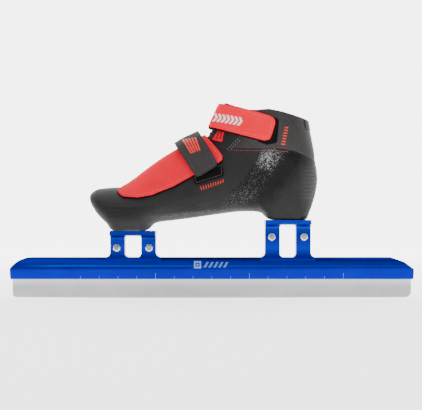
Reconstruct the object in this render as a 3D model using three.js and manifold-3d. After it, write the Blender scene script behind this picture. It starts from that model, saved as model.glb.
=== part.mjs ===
// A left speed skate: a steel runner in an anodised tube with two towers, a cup bolted in each
// tower, and a low carbon boot with a lace cover, an instep strap and an ankle strap.
// Millimetres. +X runs to the heel, -Y is the outer (lateral) side and +Z is up. The origin is the
// lowest point of the running edge.
import * as THREE from 'three';
import { mergeVertices } from 'three/addons/utils/BufferGeometryUtils.js';
import Module from 'manifold-3d';

const wasm = await Module();
wasm.setup();

// ---- driving dimensions -------------------------------------------------------------------
const seam = 0.3;                    // gap between neighbouring solids
const fit = 0.15;                    // running gap of flat, square metal fits

const runner = {
  length: 426, thickness: 1.2, rocker: 18000, steps: 25, frontRound: 4.3, rearRound: 6.4, roundSteps: 5,
};
const tube = {
  length: 430, bottom: 20.4, height: 23.9, slotDepth: 9,
  lipHalf: 2.6, flankHalf: 7.4, ridgeHalf: 5.2, chamfer: 1.4, wall: 2.2, chamberFloor: 3,
  noseRun: 23, noseDrop: 12, tailRun: 24, tailDrop: 12.5, plugDepth: 7,
};
const tower = {
  pitch: 165, frontX: -84, frontTop: 72.4, rearRise: 11.7,
  width: 48.5, thickness: 12, window: 17.4, footRound: 5.4, windowRound: 4.4,
};
const cup = {
  flange: 5.5, flangeHalf: 16, height: 9.3, flare: 3.8, pocket: 6.4, lugDrop: 15, lugInset: 1.4,
  slotRun: 5, topRound: 1.9,
};
const crossBolt = { radius: 2.5, below: 18, spacing: 34.4, headFlats: 8, headHeight: 3.2, proud: 1.2 };
const nut = { flats: 8, height: 3.6 };
const bootBolt = { radius: 3, headRadius: 5.4, headHeight: 2.6, length: 17 };
const insert = { length: 26, width: 20, height: 7.5 };
const wall = 3.6;                    // thickness of the boot's own wall

const rearTop = tower.frontTop + tower.rearRise;
const rearX = tower.frontX + tower.pitch;
const tubeTop = tube.bottom + tube.height;
const towers = [
  { name: 'front', x: tower.frontX, top: tower.frontTop },
  { name: 'rear', x: rearX, top: rearTop },
];
// The boot's rails are drawn for a front cup top at this height, and the boot follows the cups.
const drawnTop = 72.4;
const lift = tower.frontTop - drawnTop;
const seats = towers.map(({ x, top }) => ({ x, top: top - lift }));

// ---- materials ----------------------------------------------------------------------------
const finish = (color, roughness, metalness) =>
  new THREE.MeshStandardMaterial({ color, roughness, metalness });
const blueAnodised = finish(0x0b3fc4, 0.3, 0.8);
const steel = finish(0xb9bdba, 0.3, 1);
const zinc = finish(0xc9ccd0, 0.35, 1);
const carbon = finish(0x18191a, 0.25, 0);
const blackLeather = finish(0x2b2c2c, 0.6, 0);
const blackFabric = finish(0x232424, 0.9, 0);
const redLeather = finish(0xf2454a, 0.5, 0);
const laceFabric = finish(0xd8d4d2, 0.9, 0);
const foam = finish(0x3a3b3d, 1, 0);

// ---- solids -------------------------------------------------------------------------------
function solid(geometry) {
  const bare = geometry.clone();
  bare.deleteAttribute('normal');
  bare.deleteAttribute('uv');
  const merged = mergeVertices(bare, 1e-4);
  return new wasm.Manifold(new wasm.Mesh({
    numProp: 3,
    vertProperties: merged.attributes.position.array,
    triVerts: new Uint32Array(merged.index.array),
  }));
}

function geometryOf(manifold) {
  const mesh = manifold.getMesh();
  const geometry = new THREE.BufferGeometry();
  geometry.setAttribute('position', new THREE.BufferAttribute(mesh.vertProperties, 3));
  geometry.setIndex(new THREE.BufferAttribute(mesh.triVerts, 1));
  const flat = geometry.toNonIndexed();
  flat.computeVertexNormals();
  return flat;
}

const skate = new THREE.Group();

// A piece of the boot, which stands on the cups.
const addBootPart = (name, manifold, material) =>
  addPart(name, manifold.translate([0, 0, lift]), material);

function addPart(name, manifold, material) {
  const mesh = new THREE.Mesh(geometryOf(manifold), material);
  mesh.name = name;
  skate.add(mesh);
}

const box = (size, centre) =>
  solid(new THREE.BoxGeometry(...size).translate(...centre));

// An outline in the side view, given as [x, z] points, pushed through from yFrom to yTo.
function sidePlate(points, yFrom, yTo, curveSegments = 6) {
  const outline = points instanceof THREE.Shape
    ? points
    : new THREE.Shape(points.map(([x, z]) => new THREE.Vector2(x, z)));
  const geometry = new THREE.ExtrudeGeometry(
    outline, { depth: yTo - yFrom, bevelEnabled: false, curveSegments });
  return solid(geometry.rotateX(Math.PI / 2).translate(0, yTo, 0));
}

// An outline in the end view, given as [y, z] points, pushed along X from xFrom to xTo.
function endPlate(points, xFrom, xTo) {
  const outline = new THREE.Shape(points.map(([y, z]) => new THREE.Vector2(y, z)));
  const geometry = new THREE.ExtrudeGeometry(outline, { depth: xTo - xFrom, bevelEnabled: false });
  geometry.applyMatrix4(new THREE.Matrix4().makeBasis(
    new THREE.Vector3(0, 1, 0), new THREE.Vector3(0, 0, 1), new THREE.Vector3(1, 0, 0)));
  return solid(geometry.translate(xFrom, 0, 0));
}

// A cylinder along Y (sides 6 is a hexagon standing on a corner) or along Z.
function rodY(radius, yFrom, yTo, x, z, sides = 16) {
  const geometry = new THREE.CylinderGeometry(radius, radius, yTo - yFrom, sides);
  return solid(geometry.translate(x, (yFrom + yTo) / 2, z));
}
function rodZ(radiusLow, radiusHigh, zFrom, zTo, x, y, sides = 20) {
  const geometry = new THREE.CylinderGeometry(radiusHigh, radiusLow, zTo - zFrom, sides);
  return solid(geometry.rotateX(Math.PI / 2).translate(x, y, (zFrom + zTo) / 2));
}

const arc = (cx, cz, radius, from, to, steps) =>
  Array.from({ length: steps + 1 }, (_, i) => {
    const a = from + ((to - from) * i) / steps;
    return [cx + radius * Math.cos(a), cz + radius * Math.sin(a)];
  });

// ---- runner -------------------------------------------------------------------------------
function makeRunner() {
  const half = runner.length / 2;
  const rise = (x) => (x * x - (half / runner.steps) ** 2) / (2 * runner.rocker);
  const front = { x: -half, r: runner.frontRound };
  const rear = { x: half, r: runner.rearRound };
  const bottom = Array.from({ length: runner.steps + 1 }, (_, i) => {
    const x = -half + (runner.length * i) / runner.steps;
    return [x, rise(x)];
  }).filter(([x]) => x > front.x + front.r && x < rear.x - rear.r);
  const points = [
    [-half, tube.bottom + tube.slotDepth],
    ...arc(front.x + front.r, rise(half) + front.r, front.r, Math.PI, 1.5 * Math.PI, runner.roundSteps),
    ...bottom,
    ...arc(rear.x - rear.r, rise(half) + rear.r, rear.r, -Math.PI / 2, 0, runner.roundSteps),
    [half, tube.bottom + tube.slotDepth],
  ];
  return sidePlate(points, -runner.thickness / 2, runner.thickness / 2);
}

// ---- blade tube ---------------------------------------------------------------------------
// The section's half outline, from the lip up the flank to the ridge, shrunk by `inset`.
function tubeFlank(inset) {
  const { bottom, chamfer, lipHalf, flankHalf, ridgeHalf } = tube;
  return [
    [lipHalf, bottom], [lipHalf + chamfer, bottom + chamfer * 0.8], [flankHalf - 1.3, bottom + 5],
    [flankHalf - 0.2, bottom + 8.5], [flankHalf, bottom + 11.5], [flankHalf - 0.5, bottom + 15],
    [ridgeHalf + 0.8, bottom + 18.6], [ridgeHalf - 0.6, tubeTop - 1.6], [ridgeHalf - 2.2, tubeTop],
  ].map(([y, z]) => [y - inset, z]);
}

const bothSides = (half) => [...half, ...half.map(([y, z]) => [-y, z]).reverse()];

// The tube's outline in the side view: rounded at the nose and cut at a slant at the tail.
function tubeSideOutline() {
  const { length, bottom, noseRun, noseDrop, tailRun, tailDrop } = tube;
  const half = length / 2;
  const noseRadius = (noseRun ** 2 + noseDrop ** 2) / (2 * noseDrop);
  const noseAngle = Math.asin(noseRun / noseRadius);
  const tailRadius = tailRun * 2.6;
  return [
    [-half, bottom],
    ...arc(half - 0.8, bottom + 0.8, 0.8, -Math.PI / 2, 0, 2),
    [half, tubeTop - tailDrop],
    [half - tailRun * 0.42, tubeTop - tailDrop * 0.42 + tailRadius * 0.006],
    [half - tailRun, tubeTop],
    ...arc(-half + noseRun, tubeTop - noseRadius, noseRadius,
      Math.PI / 2, Math.PI / 2 + noseAngle, 8),
  ];
}

// A tower with its two legs, up to the cup, and the rounds at its foot.
function towerOutline(top) {
  const { width, window, footRound: r, windowRound: w } = tower;
  const half = width / 2;
  const legTop = top - cup.height - fit;
  const base = tubeTop - 4;
  const shape = new THREE.Shape();
  shape.moveTo(-half - r, base);
  shape.lineTo(half + r, base);
  shape.lineTo(half + r, tubeTop);
  shape.absarc(half + r, tubeTop + r, r, -Math.PI / 2, -Math.PI, true);
  shape.lineTo(half, legTop);
  shape.lineTo(window / 2, legTop);
  shape.lineTo(window / 2, tubeTop + w);
  shape.absarc(window / 2 - w, tubeTop + w, w, 0, -Math.PI / 2, true);
  shape.absarc(-window / 2 + w, tubeTop + w, w, -Math.PI / 2, -Math.PI, true);
  shape.lineTo(-window / 2, legTop);
  shape.lineTo(-half, legTop);
  shape.lineTo(-half, tubeTop + r);
  shape.absarc(-half - r, tubeTop + r, r, 0, -Math.PI / 2, true);
  shape.closePath();
  return shape;
}

const legCentre = (tower.width + tower.window) / 4;
const legWidth = (tower.width - tower.window) / 2;

function makeTube() {
  const half = tube.length / 2;
  const skin = endPlate(bothSides(tubeFlank(0)), -half, half)
    .intersect(sidePlate(tubeSideOutline(), -20, 20));
  const slot = box([tube.length + 2, runner.thickness + 2 * fit, 2 * (tube.slotDepth + fit)],
    [0, 0, tube.bottom]);
  let body = skin.subtract(slot);
  for (const { x, top } of towers) {
    const halfThick = tower.thickness / 2;
    const legs = sidePlate(towerOutline(top), -halfThick, halfThick).translate([x, 0, 0]);
    body = body.add(legs);
  }
  body = body.subtract(chamber(0));
  for (const { x, top } of towers) {
    for (const side of [-1, 1]) {
      const depth = cup.height + cup.lugDrop + 0.8;
      const lug = [legWidth - 2 * cup.lugInset + 2 * fit, cup.pocket + 2 * fit];
      body = body.subtract(box([...lug, depth], [x + side * legCentre, 0, top - depth / 2]));
      const z = top - crossBolt.below;
      body = body.subtract(rodY(crossBolt.radius + fit, -10, 10, x + side * crossBolt.spacing / 2, z));
    }
  }
  return body;
}

// The hollow that runs the length of the tube above the runner's slot.
function chamber(inset) {
  const half = tube.length / 2;
  const floor = tube.bottom + tube.slotDepth + tube.chamberFloor - 1;
  const roof = tubeTop - 5.2;
  const low = tube.flankHalf - tube.wall - inset;
  const high = tube.ridgeHalf - tube.wall - inset;
  const outline = bothSides([
    [low - 1.6, floor + inset], [low, floor + 1.6], [low, floor + 3], [high, roof - inset],
  ]);
  return endPlate(outline, -half - 1, half + 1);
}

function makePlug(side) {
  const half = tube.length / 2;
  const from = side < 0 ? -half : half - tube.plugDepth;
  return chamber(fit)
    .intersect(sidePlate(tubeSideOutline(), -20, 20))
    .intersect(box([tube.plugDepth, 40, 80], [from + tube.plugDepth / 2, 0, tube.bottom + 20]));
}

// ---- cups and fasteners ---------------------------------------------------------------------
function makeCup({ x, top }) {
  const half = tower.width / 2;
  const halfThick = tower.thickness / 2;
  const neck = top - cup.height;
  // end view: a flange that flares down to the tower's thickness
  const flare = arc(halfThick + cup.flare, top - cup.flange - cup.flare, cup.flare,
    Math.PI, Math.PI / 2, 5);
  const section = bothSides([
    [halfThick, neck], ...flare, [cup.flangeHalf, top - cup.flange + 1.2], [cup.flangeHalf, top],
  ]);
  let body = endPlate(section, -half, half);
  const window = new THREE.Shape();
  const w = tower.window / 2;
  const r = cup.topRound;
  window.moveTo(-w, neck - 1);
  window.lineTo(w, neck - 1);
  window.lineTo(w, top - cup.flange - r);
  window.absarc(w - r, top - cup.flange - r, r, 0, Math.PI / 2, false);
  window.absarc(-w + r, top - cup.flange - r, r, Math.PI / 2, Math.PI, false);
  window.closePath();
  body = body.subtract(sidePlate(window, -30, 30));
  for (const side of [-1, 1]) {
    const height = cup.lugDrop + 1;
    const size = [legWidth - 2 * cup.lugInset, cup.pocket, height];
    body = body.add(box(size, [side * legCentre, 0, neck + 1 - height / 2]));
    body = body.subtract(
      rodY(crossBolt.radius + fit, -10, 10, side * crossBolt.spacing / 2, top - crossBolt.below));
  }
  // a lateral slot for the boot bolt, and a step below it for the bolt's head
  const slot = (radius, zFrom, zTo) => rodZ(radius, radius, zFrom, zTo, 0, -cup.slotRun)
    .add(rodZ(radius, radius, zFrom, zTo, 0, cup.slotRun))
    .add(box([2 * radius, 2 * cup.slotRun, zTo - zFrom], [0, 0, (zFrom + zTo) / 2]));
  body = body.subtract(slot(bootBolt.radius + 0.3, top - 20, top + 1));
  body = body.subtract(
    slot(bootBolt.headRadius + 0.3, top - 20, top - cup.flange + bootBolt.headHeight + 0.2));
  return body.translate([x, 0, 0]);
}

const hexRadius = (flats) => flats / Math.sqrt(3);

function makeCrossBolt(x, z) {
  const face = tower.thickness / 2 + fit;
  const end = -(face + nut.height + crossBolt.proud);
  const head = rodY(hexRadius(crossBolt.headFlats), face, face + crossBolt.headHeight, x, z, 6);
  const key = rodY(2.3, face + 1.4, face + crossBolt.headHeight + 1, x, z, 6);
  return rodY(crossBolt.radius, end, face + 1, x, z).add(head).subtract(key);
}

function makeNut(x, z) {
  const face = -(tower.thickness / 2 + fit);
  return rodY(hexRadius(nut.flats), face - nut.height, face, x, z, 6)
    .subtract(rodY(crossBolt.radius + fit, face - nut.height - 1, face + 1, x, z));
}

function makeBootBolt({ x, top }) {
  const headTop = top - cup.flange + bootBolt.headHeight;
  const key = rodZ(2.2, 2.2, headTop - bootBolt.headHeight - 1, headTop - 1, x, 0, 6);
  return rodZ(bootBolt.headRadius, bootBolt.headRadius, headTop - bootBolt.headHeight, headTop, x, 0)
    .add(rodZ(bootBolt.radius, bootBolt.radius, headTop - 1, headTop + bootBolt.length, x, 0))
    .subtract(key);
}

function makeInsert({ x, top }) {
  const base = insertBase(top);
  return box([insert.length, insert.width, insert.height], [x, 0, base + insert.height / 2])
    .subtract(rodZ(bootBolt.radius + fit, bootBolt.radius + fit, base - 1, base + 20, x, 0));
}
const insertBase = (top) => top + seam + 4;

// ---- the boot's surface ---------------------------------------------------------------------
// Stations fan from the toe (0), along the foot, to the top of the shaft (20). At each one a
// section stands on the sole rail and ends at the instep rail; both rails lie in the side view.
const soleRail = [
  [-130.3, 109.1], [-128.2, 101.1], [-122.3, 91.5], [-113.2, 82.1], [-102, 72.8], [-87.5, 72.5],
  [-73.1, 73.1], [-58.6, 81], [-39.4, 83.7], [-16.9, 86.7], [6.6, 90.1], [30.2, 92.9],
  [50.5, 92.2], [64.4, 85.2], [83.7, 84.2], [99.2, 84.9], [107.9, 102.2], [112.8, 127.3],
  [108.8, 156.2], [102.6, 188.9], [98.6, 213],
];
const instepRail = [
  [-130.3, 109.1], [-128.6, 112.6], [-122.8, 116.6], [-114.3, 118], [-104.6, 118.8],
  [-91.8, 119.6], [-80, 125.4], [-67.2, 133.1], [-53.3, 141.8], [-38.3, 151.1], [-25.5, 158.6],
  [-14.8, 163.7], [-6.8, 168.2], [-1.2, 175.4], [3, 182.6], [5.6, 188.3], [7.9, 193],
  [9.7, 197.3], [11.4, 201], [13.2, 204.7], [17.5, 213.8],
];
const stations = soleRail.length - 1;
// Half widths of each section on the lateral and the medial side.
const lateralHalf = [0, 17, 28, 36.5, 42, 45.5, 47, 46, 43, 39.5, 37, 35.5, 34.5, 33.5, 33, 33,
  33.5, 35, 36, 36.5, 36.5];
const medialHalf = [0, 20, 31, 38, 42.5, 44.5, 44.5, 42.5, 39, 36, 34, 33.5, 33, 32.5, 32.5, 33,
  33.5, 35, 36, 36.5, 36.5];
// Where the section is widest (1 is the middle, less is nearer the sole), and how square it is.
const lowness = [1, 0.8, 0.68, 0.62, 0.6, 0.6, 0.6, 0.62, 0.62, 0.62, 0.64, 0.68, 0.72, 0.74,
  0.76, 0.8, 0.9, 1, 1.05, 1.05, 1.05];
const squareness = [0.5, 0.5, 0.52, 0.54, 0.55, 0.56, 0.58, 0.6, 0.62, 0.62, 0.6, 0.58, 0.56,
  0.54, 0.52, 0.52, 0.52, 0.54, 0.56, 0.56, 0.56];
// Thickness of the sole below the foot, and of the heel behind it: the two pads are deep.
const soleDepth = [4, 5, 7, 10, 13, 13, 12.5, 7.5, 6, 5.6, 5.6, 5.6, 7, 13, 14, 11, 4.5, 4, 4, 4, 4];

const rail = (points) => {
  const curve = new THREE.SplineCurve(points.map(([x, z]) => new THREE.Vector2(x, z)));
  return (t) => curve.getPoint(t / stations);
};
const track = (values) => {
  const curve = rail(values.map((value, i) => [i, value]));
  return (t) => curve(t).y;
};
const sole = rail(soleRail);
const instep = rail(instepRail);
const halves = { lateral: track(lateralHalf), medial: track(medialHalf) };
const low = track(lowness);
const square = track(squareness);
const depthOfSole = track(soleDepth);

// Points of the section at station t, starting at the sole rail and going up the lateral side,
// over the instep rail and down the medial side. A ring with an inset lies inside the boot's wall.
function sectionRing(t, count, inset = 0) {
  const foot = sole(t);
  const head = instep(t);
  const span = foot.distanceTo(head);
  const start = inset > 0 ? (depthOfSole(t) + inset - wall) / span : 0;
  const end = inset > 0 ? 1 - inset / span : 1;
  const width = (half, share) => {
    const v = start + (end - start) * share;
    const full = half * Math.pow(Math.max(Math.sin(Math.PI * Math.pow(v, low(t))), 0), square(t));
    const closing = inset > 0 ? Math.pow(Math.max(Math.sin(Math.PI * share), 0), hollowSquare) : 1;
    return Math.max(full - inset, 0) * closing;
  };
  const oneSide = (half, sign) => {
    const fine = Array.from({ length: ringSteps + 1 }, (_, i) => {
      const share = (1 - Math.cos((Math.PI * i) / ringSteps)) / 2;
      const p = foot.clone().lerp(head, start + (end - start) * share);
      return new THREE.Vector3(p.x, sign * width(half, share), p.y);
    });
    return evenPoints(fine, count / 2);
  };
  const lateral = oneSide(halves.lateral(t), -1);
  const medial = oneSide(halves.medial(t), 1).reverse();
  return [...lateral, ...medial.slice(1, -1)];
}
const ringSteps = 64;
const hollowSquare = 0.3;

// The same line of points again with `steps` stretches of equal length.
function evenPoints(points, steps) {
  const along = [0];
  for (let i = 1; i < points.length; i++) {
    along.push(along[i - 1] + points[i].distanceTo(points[i - 1]));
  }
  return Array.from({ length: steps + 1 }, (_, k) => {
    const wanted = (along.at(-1) * k) / steps;
    let i = 1;
    while (i < points.length - 1 && along[i] < wanted) i++;
    return points[i - 1].clone()
      .lerp(points[i], (wanted - along[i - 1]) / (along[i] - along[i - 1]));
  });
}

// Rings of points and of outward normals for a list of stations.
function surfaceGrid(times, count) {
  const rings = times.map((t) => sectionRing(t, count));
  const normals = rings.map((ring, i) => ring.map((_, k) => {
    const around = new THREE.Vector3()
      .subVectors(ring[(k + 1) % count], ring[(k + count - 1) % count]);
    const after = rings[Math.min(i + 1, rings.length - 1)][k];
    const before = rings[Math.max(i - 1, 0)][k];
    return new THREE.Vector3().subVectors(after, before).cross(around).normalize();
  }));
  return { rings, normals };
}

// A closed solid through rings of points: a point or a flat cap at the first and the last ring.
function loft(rings) {
  const count = rings[0].length;
  const middle = (ring) => ring.reduce((sum, p) => sum.add(p), new THREE.Vector3())
    .divideScalar(ring.length);
  const vertices = [middle(rings[0]), ...rings.flat(), middle(rings.at(-1))];
  const at = (i, k) => 1 + i * count + (k % count);
  const last = vertices.length - 1;
  const triangles = [];
  for (let k = 0; k < count; k++) {
    triangles.push([0, at(0, k), at(0, k + 1)]);
    triangles.push([last, at(rings.length - 1, k + 1), at(rings.length - 1, k)]);
    for (let i = 0; i + 1 < rings.length; i++) {
      triangles.push([at(i, k), at(i + 1, k), at(i + 1, k + 1)]);
      triangles.push([at(i, k), at(i + 1, k + 1), at(i, k + 1)]);
    }
  }
  const geometry = new THREE.BufferGeometry();
  geometry.setAttribute('position',
    new THREE.Float32BufferAttribute(vertices.flatMap((p) => p.toArray()), 3));
  geometry.setIndex(triangles.flat());
  const made = solid(geometry);
  return made.volume() < 0 ? solid(geometry.setIndex(triangles.map((f) => f.reverse()).flat())) : made;
}

const range = (from, to, steps) =>
  Array.from({ length: steps + 1 }, (_, i) => from + ((to - from) * i) / steps);

// The boot's outer form as a solid, grown outwards by grow(t, s) millimetres, where s runs from 0
// at the sole rail over the lateral side to 0.5 at the instep rail and back over the medial side.
function bootForm(grow, times = bootTimes, count = around) {
  const { rings, normals } = surfaceGrid(times, count);
  return loft(rings.map((ring, i) => ring.map((p, k) =>
    p.clone().addScaledVector(normals[i][k], grow(times[i], k / count)))));
}
const around = 28;
const bootTimes = [0.12, 0.5, 1, 1.6, 2.3, ...range(3, 20, 21)];
const instepTimes = bootTimes.filter((t) => t > 2.9 && t < 15);
const shaftTimes = bootTimes.filter((t) => t > 12);

// The hollow for the foot, `extra` further in than the wall's inner face.
const footHollow = (extra, times = [1.5, 2, 2.7, ...range(3.5, 20, 18)]) =>
  loft(times.map((t) => sectionRing(t, 24, wall + extra)));

// ---- panel lines, in the side view ----------------------------------------------------------
const heelSeam = [[56, 157.6], [72, 156.8], [88, 154.2], [118, 144.5]];
const biteLine = [
  [-140, 99], [-118, 98], [-88, 97.4], [-55, 99], [-23, 102.2], [-2, 106], [11, 113.4],
  [25, 126.3], [41, 142.3], ...heelSeam,
];
const cuffFront = [[34, 215], [33.5, 178], [15.5, 159.4]];
const collarLine = [[-30, 203], [11, 203.5], [42, 205], [64, 203.8], [84, 199.6], [98.5, 194.6],
  [120, 186]];
const shellRegion = [...biteLine, [140, 140], [140, 40], [-150, 40], [-150, 99]];
const cuffRegion = [...cuffFront, ...heelSeam, [140, 144], [140, 230], [34, 230]];
const throatRegion = [
  [-56, 136], [-46, 136], [-31, 146], [-17, 154], [-5, 159], [4, 165], [10, 176], [15, 188],
  [24, 206], [24, 230], [-56, 230],
];
const throatHalf = 10;

const wide = 80;
const shellKnife = sidePlate(shellRegion, -wide, wide);
const cuffKnife = sidePlate(cuffRegion, -wide, wide);
const aboveCollar = sidePlate([...collarLine, [120, 260], [-30, 260]], -wide, wide);
const throat = sidePlate(throatRegion, -throatHalf, throatHalf);
const padKnife = (x, top) => box([60, 80, 20], [x, 0, top + seam - 10]);

// ---- boot pieces ----------------------------------------------------------------------------
const outerForm = bootForm(() => 0).subtract(aboveCollar);
const hollow = footHollow(0);
const bootWall = outerForm.subtract(hollow);

function makeShell() {
  let shell = bootWall.intersect(shellKnife);
  for (const { x, top } of seats) {
    const pocket = [insert.length + 2 * seam, insert.width + 2 * seam, 30];
    const bolt = bootBolt.radius + 0.5;
    shell = shell.subtract(padKnife(x, top))
      .subtract(box(pocket, [x, 0, insertBase(top) - seam + pocket[2] / 2]))
      .subtract(rodZ(bolt, bolt, top - 5, top + 12, x, 0));
  }
  return shell;
}

const makeUpper = () => bootWall
  .subtract(shellKnife.translate([-seam, 0, seam]))
  .subtract(cuffKnife)
  .subtract(throat);

const makeCuff = () => bootWall
  .intersect(cuffKnife.translate([seam, 0, seam]))
  .subtract(throat);

const liningDepth = 5;
const liningRegion = [[26, 230], [26, 172], [60, 166], [140, 156], [140, 230]];
const makeLining = () => footHollow(2 * seam, range(14, 20, 10))
  .subtract(footHollow(2 * seam + liningDepth, range(13.6, 20, 11)))
  .intersect(sidePlate(liningRegion, -wide, wide))
  .subtract(aboveCollar.translate([0, 0, -0.6]));

const tongueRegion = [
  [-68, 120], [-52, 126], [-31, 140], [-14, 149], [3, 155], [14, 168], [20, 186], [25, 206],
  [25, 207.5], [-2, 207.5], [-24, 190], [-68, 160],
];
const tongueDepth = 5;
const makeTongue = () => footHollow(2 * seam, range(7, 20, 14))
  .subtract(footHollow(2 * seam + tongueDepth, range(6.6, 20, 15)))
  .intersect(sidePlate(tongueRegion, -21, 21));

const insoleTop = [
  [-112, 97.5], [-100, 93.5], [-84, 91.5], [-58, 93.4], [-38, 95.2], [-16, 97.6], [8, 100.6],
  [32, 103.2], [56, 103.9], [84, 103.6], [99, 104.5],
];
const makeInsole = () => footHollow(seam + 0.5)
  .intersect(sidePlate([...insoleTop, [99, 60], [-112, 60]], -wide, wide))
  .subtract(box([insert.length + 2, insert.width + 2, 40],
    [seats[0].x, 0, insertBase(seats[0].top) + insert.height + 2 * seam - 20]))
  .subtract(box([insert.length + 2, insert.width + 2, 40],
    [seats[1].x, 0, insertBase(seats[1].top) + insert.height + 2 * seam - 20]))
  .subtract(rodZ(4, 4, 60, 92, seats[0].x, 0))
  .subtract(rodZ(4, 4, 60, 104.2, seats[1].x, 0));


// ---- laces ------------------------------------------------------------------------------------
const lace = { radius: 1.2, side: 15.5, pairs: 5, from: 7.9, to: 11.7, rise: 2.6, arch: 0.5 };
const eyelet = { outer: 3.4, inner: 1.9, height: 0.9 };

// The point of the boot's surface at station t and width y, and the surface's outward normal.
function surfacePoint(t, y) {
  const count = 96;
  const rings = [t - 0.1, t, t + 0.1].map((at) => sectionRing(at, count));
  let k = count / 4;
  while (rings[1][k + 1].y < y) k++;
  const share = (y - rings[1][k].y) / (rings[1][k + 1].y - rings[1][k].y);
  const point = rings[1][k].clone().lerp(rings[1][k + 1], share);
  const normal = new THREE.Vector3().subVectors(rings[2][k], rings[0][k])
    .cross(new THREE.Vector3().subVectors(rings[1][k + 1], rings[1][k])).normalize();
  return { point, normal };
}

const eyelets = range(lace.from, lace.to, lace.pairs - 1).map((t) => ({
  lateral: surfacePoint(t, -lace.side),
  medial: surfacePoint(t, lace.side),
}));

function makeEyelet({ point, normal }) {
  const profile = [[eyelet.inner, 0], [eyelet.outer, 0], [eyelet.outer - 0.3, eyelet.height],
    [eyelet.inner, eyelet.height], [eyelet.inner, 0]].map(([r, h]) => new THREE.Vector2(r, h));
  const ring = new THREE.LatheGeometry(profile, 8);
  const turn = new THREE.Quaternion().setFromUnitVectors(new THREE.Vector3(0, 1, 0), normal);
  ring.applyQuaternion(turn).translate(...point.clone().addScaledVector(normal, seam).toArray());
  return solid(ring);
}

// One end of the lace crosses from eyelet to eyelet over the tongue and sits over each one's hole.
function laceStrand(first) {
  const points = [];
  for (let i = 0; i < lace.pairs; i++) {
    const sign = (i + first) % 2 ? 1 : -1;
    if (i > 0) points.push(...lacePoints(laceTime(i - 1), laceTime(i), -sign).slice(1));
    else points.push(raised(laceTime(0), sign * lace.side, 0));
  }
  return cord(points, lace.radius, (points.length - 1) * 2);
}
const laceTime = (i) => lace.from + ((lace.to - lace.from) * i) / (lace.pairs - 1);
const raised = (t, y, arch) => {
  const { point, normal } = surfacePoint(t, y);
  return point.clone().addScaledVector(normal, lace.rise + lace.arch * arch);
};
const lacePoints = (tFrom, tTo, sign) => [0, 0.25, 0.5, 0.75, 1].map((share) => raised(
  tFrom + (tTo - tFrom) * share, sign * lace.side * (1 - 2 * share), Math.sin(Math.PI * share)));

function cord(points, radius, steps) {
  const curve = new THREE.CatmullRomCurve3(points);
  const ring = new THREE.Shape(arc(0, 0, radius, 0, 2 * Math.PI, 8).slice(0, 8)
    .map(([x, z]) => new THREE.Vector2(x, z)));
  return solid(new THREE.ExtrudeGeometry(ring, { extrudePath: curve, steps, bevelEnabled: false }));
}

const makeLace = () => laceStrand(0).add(laceStrand(1))
  .add(cord(lacePoints(laceTime(0), laceTime(0), 1), lace.radius, 8));

// ---- cover and straps ---------------------------------------------------------------------------
const cover = { thickness: 2.2, gap: 0.5, lift: 4.6, medialEdge: 21, bumpFrom: 6.2, bumpFull: 8 };
const strap = { thickness: 3, lift: 5.6, gap: 0.5 };
const ankle = { thickness: 2.2, gap: 0.8, medialEdge: 16, hingeGap: 1.9 };

const coverLateral = [
  [-103, 114], [-95, 109.6], [-78, 108.6], [-64, 111], [-40, 120.2], [-22, 130.4], [-2, 140.5],
  [7.5, 145.4], [11, 148.5], [11.6, 152], [7, 158], [-2, 168], [-16, 186], [-110, 186],
];
const strapBand = [
  [-42, 169], [-18.5, 133.5], [-16, 130.6], [-12, 131.6], [3.5, 141.4], [5.6, 144.4], [4, 148],
  [-18, 182], [-30, 200],
];
const ankleBand = [
  [-22, 189], [-0.9, 183.6], [57.7, 169.3], [62.3, 170.7], [65.6, 177], [68.9, 188.5],
  [67.5, 193.5], [62.3, 197], [11.6, 209.2], [-10, 214.5],
];
const loopPad = [[-20.5, 129.6], [-17.1, 120.8], [12.6, 130.4], [11.6, 137.5], [9.5, 144]];
const heelPatch = [[84, 183], [120, 183], [120, 194], [84, 194.5]];
const tongueTab = [[1.5, 169], [10.5, 167.4], [13.5, 179.4], [5.5, 180.8]];

const smooth = (x) => {
  const clamped = Math.min(Math.max(x, 0), 1);
  return clamped * clamped * (3 - 2 * clamped);
};
// How far the laces push the cover up: most on the instep rail, nothing at the sides and the toe.
const overLaces = (t, s) => smooth((0.2 - Math.abs(s - 0.5)) / 0.16)
  * smooth((t - cover.bumpFrom) / (cover.bumpFull - cover.bumpFrom)) * smooth((14.4 - t) / 2);
const coverUnder = (t, s) => cover.gap + cover.lift * overLaces(t, s);
const coverOver = (t, s) => coverUnder(t, s) + cover.thickness;
const strapUnder = (t, s) => coverOver(t, s) + strap.gap + strap.lift * overLaces(t, s);
const strapOver = (t, s) => strapUnder(t, s) + strap.thickness;

// A layer of the boot's form between two growths, cut to an outline in the side view and to a
// stretch of Y.
const layer = (under, over, times, outline, yFrom, yTo) =>
  bootForm(over, times).subtract(bootForm(under, [times[0] - 0.3, ...times, times.at(-1) + 0.1]))
    .intersect(sidePlate(outline, yFrom, yTo));

const makeCover = () =>
  layer(coverUnder, coverOver, instepTimes, coverLateral, -wide, cover.medialEdge);
const makeInstepStrap = () =>
  layer(strapUnder, strapOver, instepTimes, strapBand, -wide, cover.medialEdge);
const makeAnkleStrap = () => layer(
  () => ankle.gap, () => ankle.gap + ankle.thickness, shaftTimes, ankleBand, -wide, ankle.medialEdge);
const makeAnkleAnchor = () => layer(
  () => seam, () => ankle.gap + ankle.thickness, shaftTimes, ankleBand,
  ankle.medialEdge + ankle.hingeGap, wide);
const makeLoopPad = () => layer(() => seam, () => 1.7, instepTimes, loopPad, -wide, 0);
const makeHeelPatch = () => layer(() => seam, () => 1.7, shaftTimes, heelPatch, -13, 13);
const makeTongueTab = () => layer(() => seam, () => 1.8, shaftTimes, tongueTab, -24, -11);

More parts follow.
